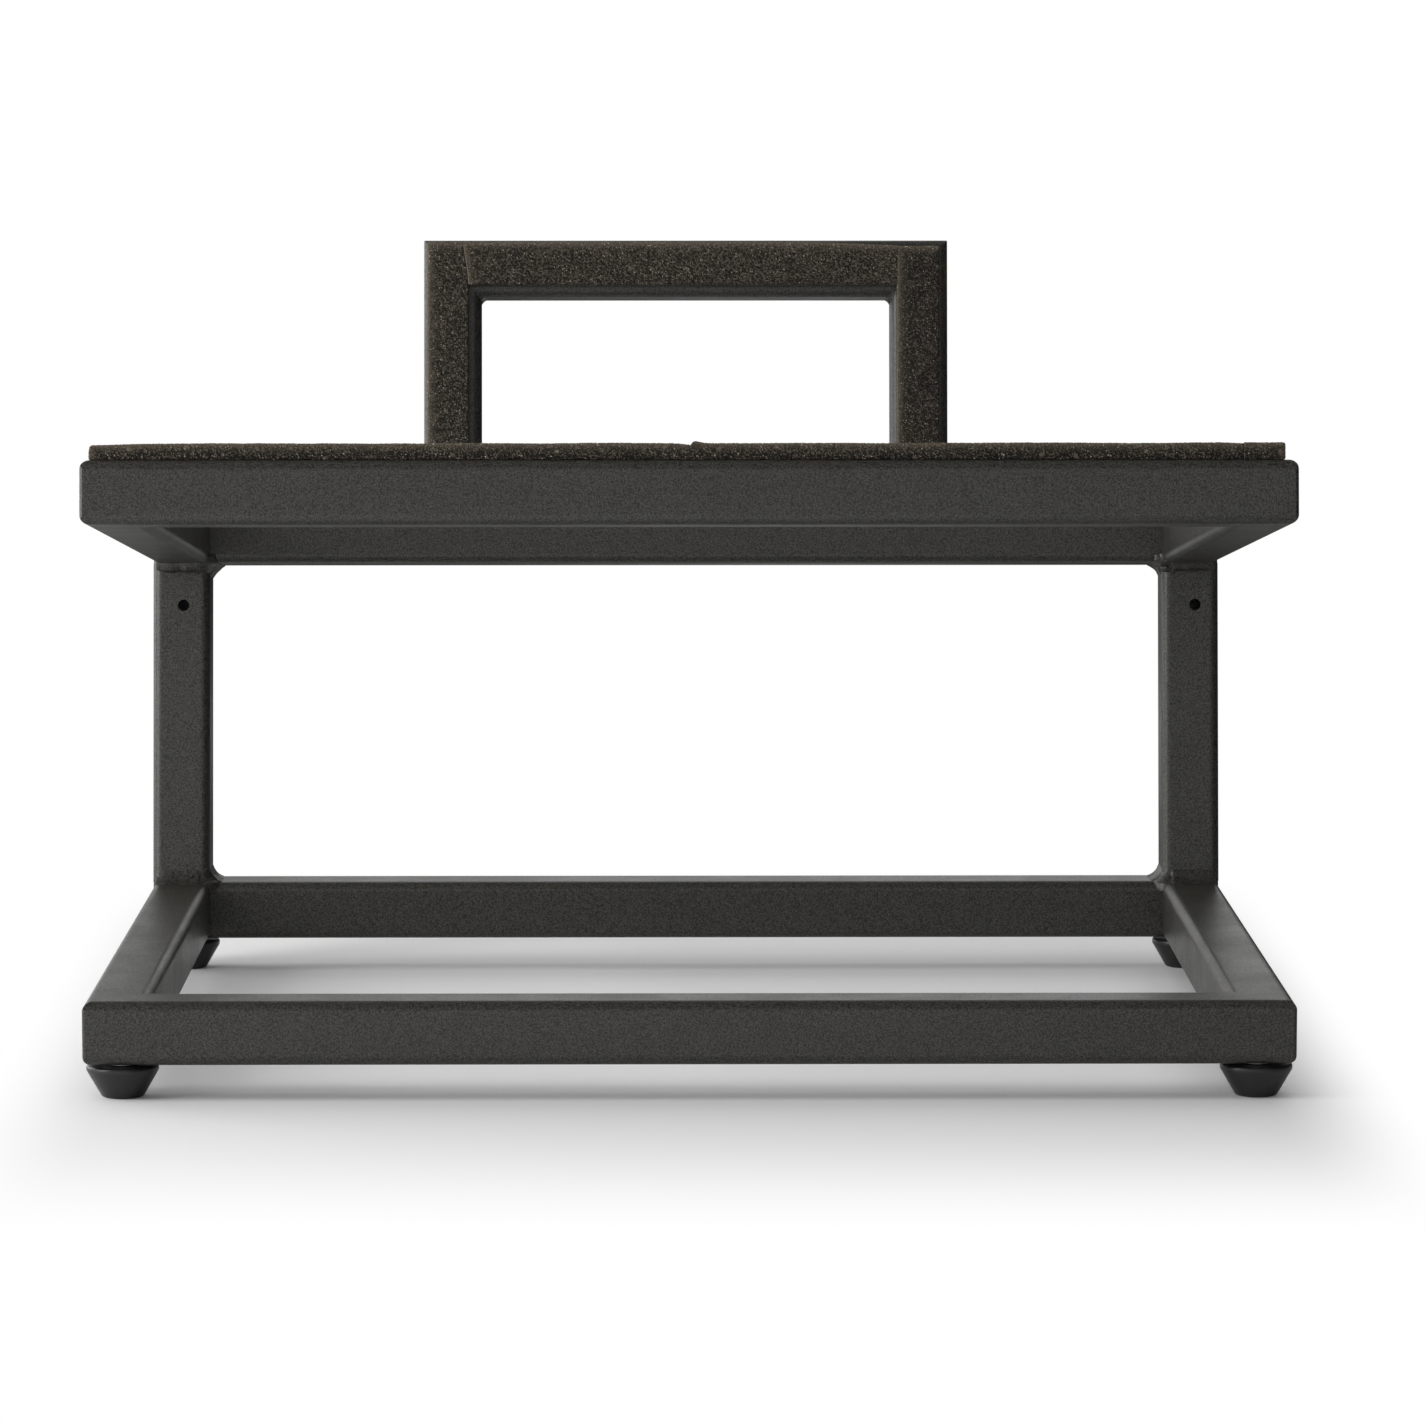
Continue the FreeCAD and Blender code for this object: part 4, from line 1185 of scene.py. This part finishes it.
class MouldFeet(bpy.types.Operator):
    """Mould the four feet and give the rivet nuts their plated steel"""

    bl_idname = "stand.mould_feet"
    bl_label = "Mould the feet"

    def execute(self, context):
        hardware = context.scene.speaker_stand.hardware
        plastic, zinc = moulded_plastic(hardware), plated_steel("zinc_plated_nut", hardware, dulling=0.05)
        for corner in CORNERS:
            name = f"{corner}_foot"
            low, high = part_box(name)
            bm = turned_foot(hardware, (high.x - low.x) / 2, high.z - low.z - hardware.foot_drop)
            stand_on(bm, low, high)
            new_piece(f"{name}_moulding", bm, plastic, name, [name], FOOT_SHARP)
            for slot in frame["nodes"][f"{corner}_rivet_nut"].material_slots:
                slot.material = zinc
        return {"FINISHED"}


class SetStage(bpy.types.Operator):
    """Set the floor, the studio light and the camera"""

    bl_idname = "stand.set_stage"
    bl_label = "Set the stage"

    def execute(self, context):
        scene = context.scene
        stage = scene.speaker_stand.stage
        scene.view_settings.view_transform = "Standard"
        lay_floor(stage)
        light_world(scene)
        for name, (size, place, aim) in SOFTBOXES.items():
            box = softbox(f"{name}_softbox", getattr(stage, name), size, place, aim)
            box.visible_glossy = name != "overhead"
        set_camera(scene, stage)
        return {"FINISHED"}


class StandPanel(bpy.types.Panel):
    """Steps of the speaker stand, in order"""

    bl_idname = "VIEW3D_PT_speaker_stand"
    bl_label = "Speaker stand"
    bl_space_type = "VIEW_3D"
    bl_region_type = "UI"
    bl_category = "Speaker stand"

    def draw(self, context):
        settings = context.scene.speaker_stand
        for operator, group in STEPS:
            box = self.layout.box()
            box.operator(operator.bl_idname)
            for name in getattr(settings, group).__annotations__:
                box.prop(getattr(settings, group), name)


STEPS = ((CoatTubes, "coat"), (WeldPosts, "weld"), (WeldBackrest, "weld"), (LayShelfFoam, "foam"),
         (LayBackrestFoam, "foam"), (CutThreads, "hardware"), (MouldFeet, "hardware"), (SetStage, "stage"))
CLASSES = (CoatSettings, WeldSettings, FoamSettings, HardwareSettings, StageSettings, StandSettings,
           *(operator for operator, _ in STEPS), StandPanel)


def register():
    for item in CLASSES:
        bpy.utils.register_class(item)
    bpy.types.Scene.speaker_stand = PointerProperty(type=StandSettings)


def unregister():
    del bpy.types.Scene.speaker_stand
    for item in reversed(CLASSES):
        bpy.utils.unregister_class(item)


def main():
    register()
    bpy.ops.stand.coat_tubes()
    bpy.ops.stand.weld_posts()
    bpy.ops.stand.weld_backrest()
    bpy.ops.stand.lay_shelf_foam()
    bpy.ops.stand.lay_backrest_foam()
    bpy.ops.stand.cut_threads()
    bpy.ops.stand.mould_feet()
    bpy.ops.stand.set_stage()


if __name__ == "__main__":
    main()
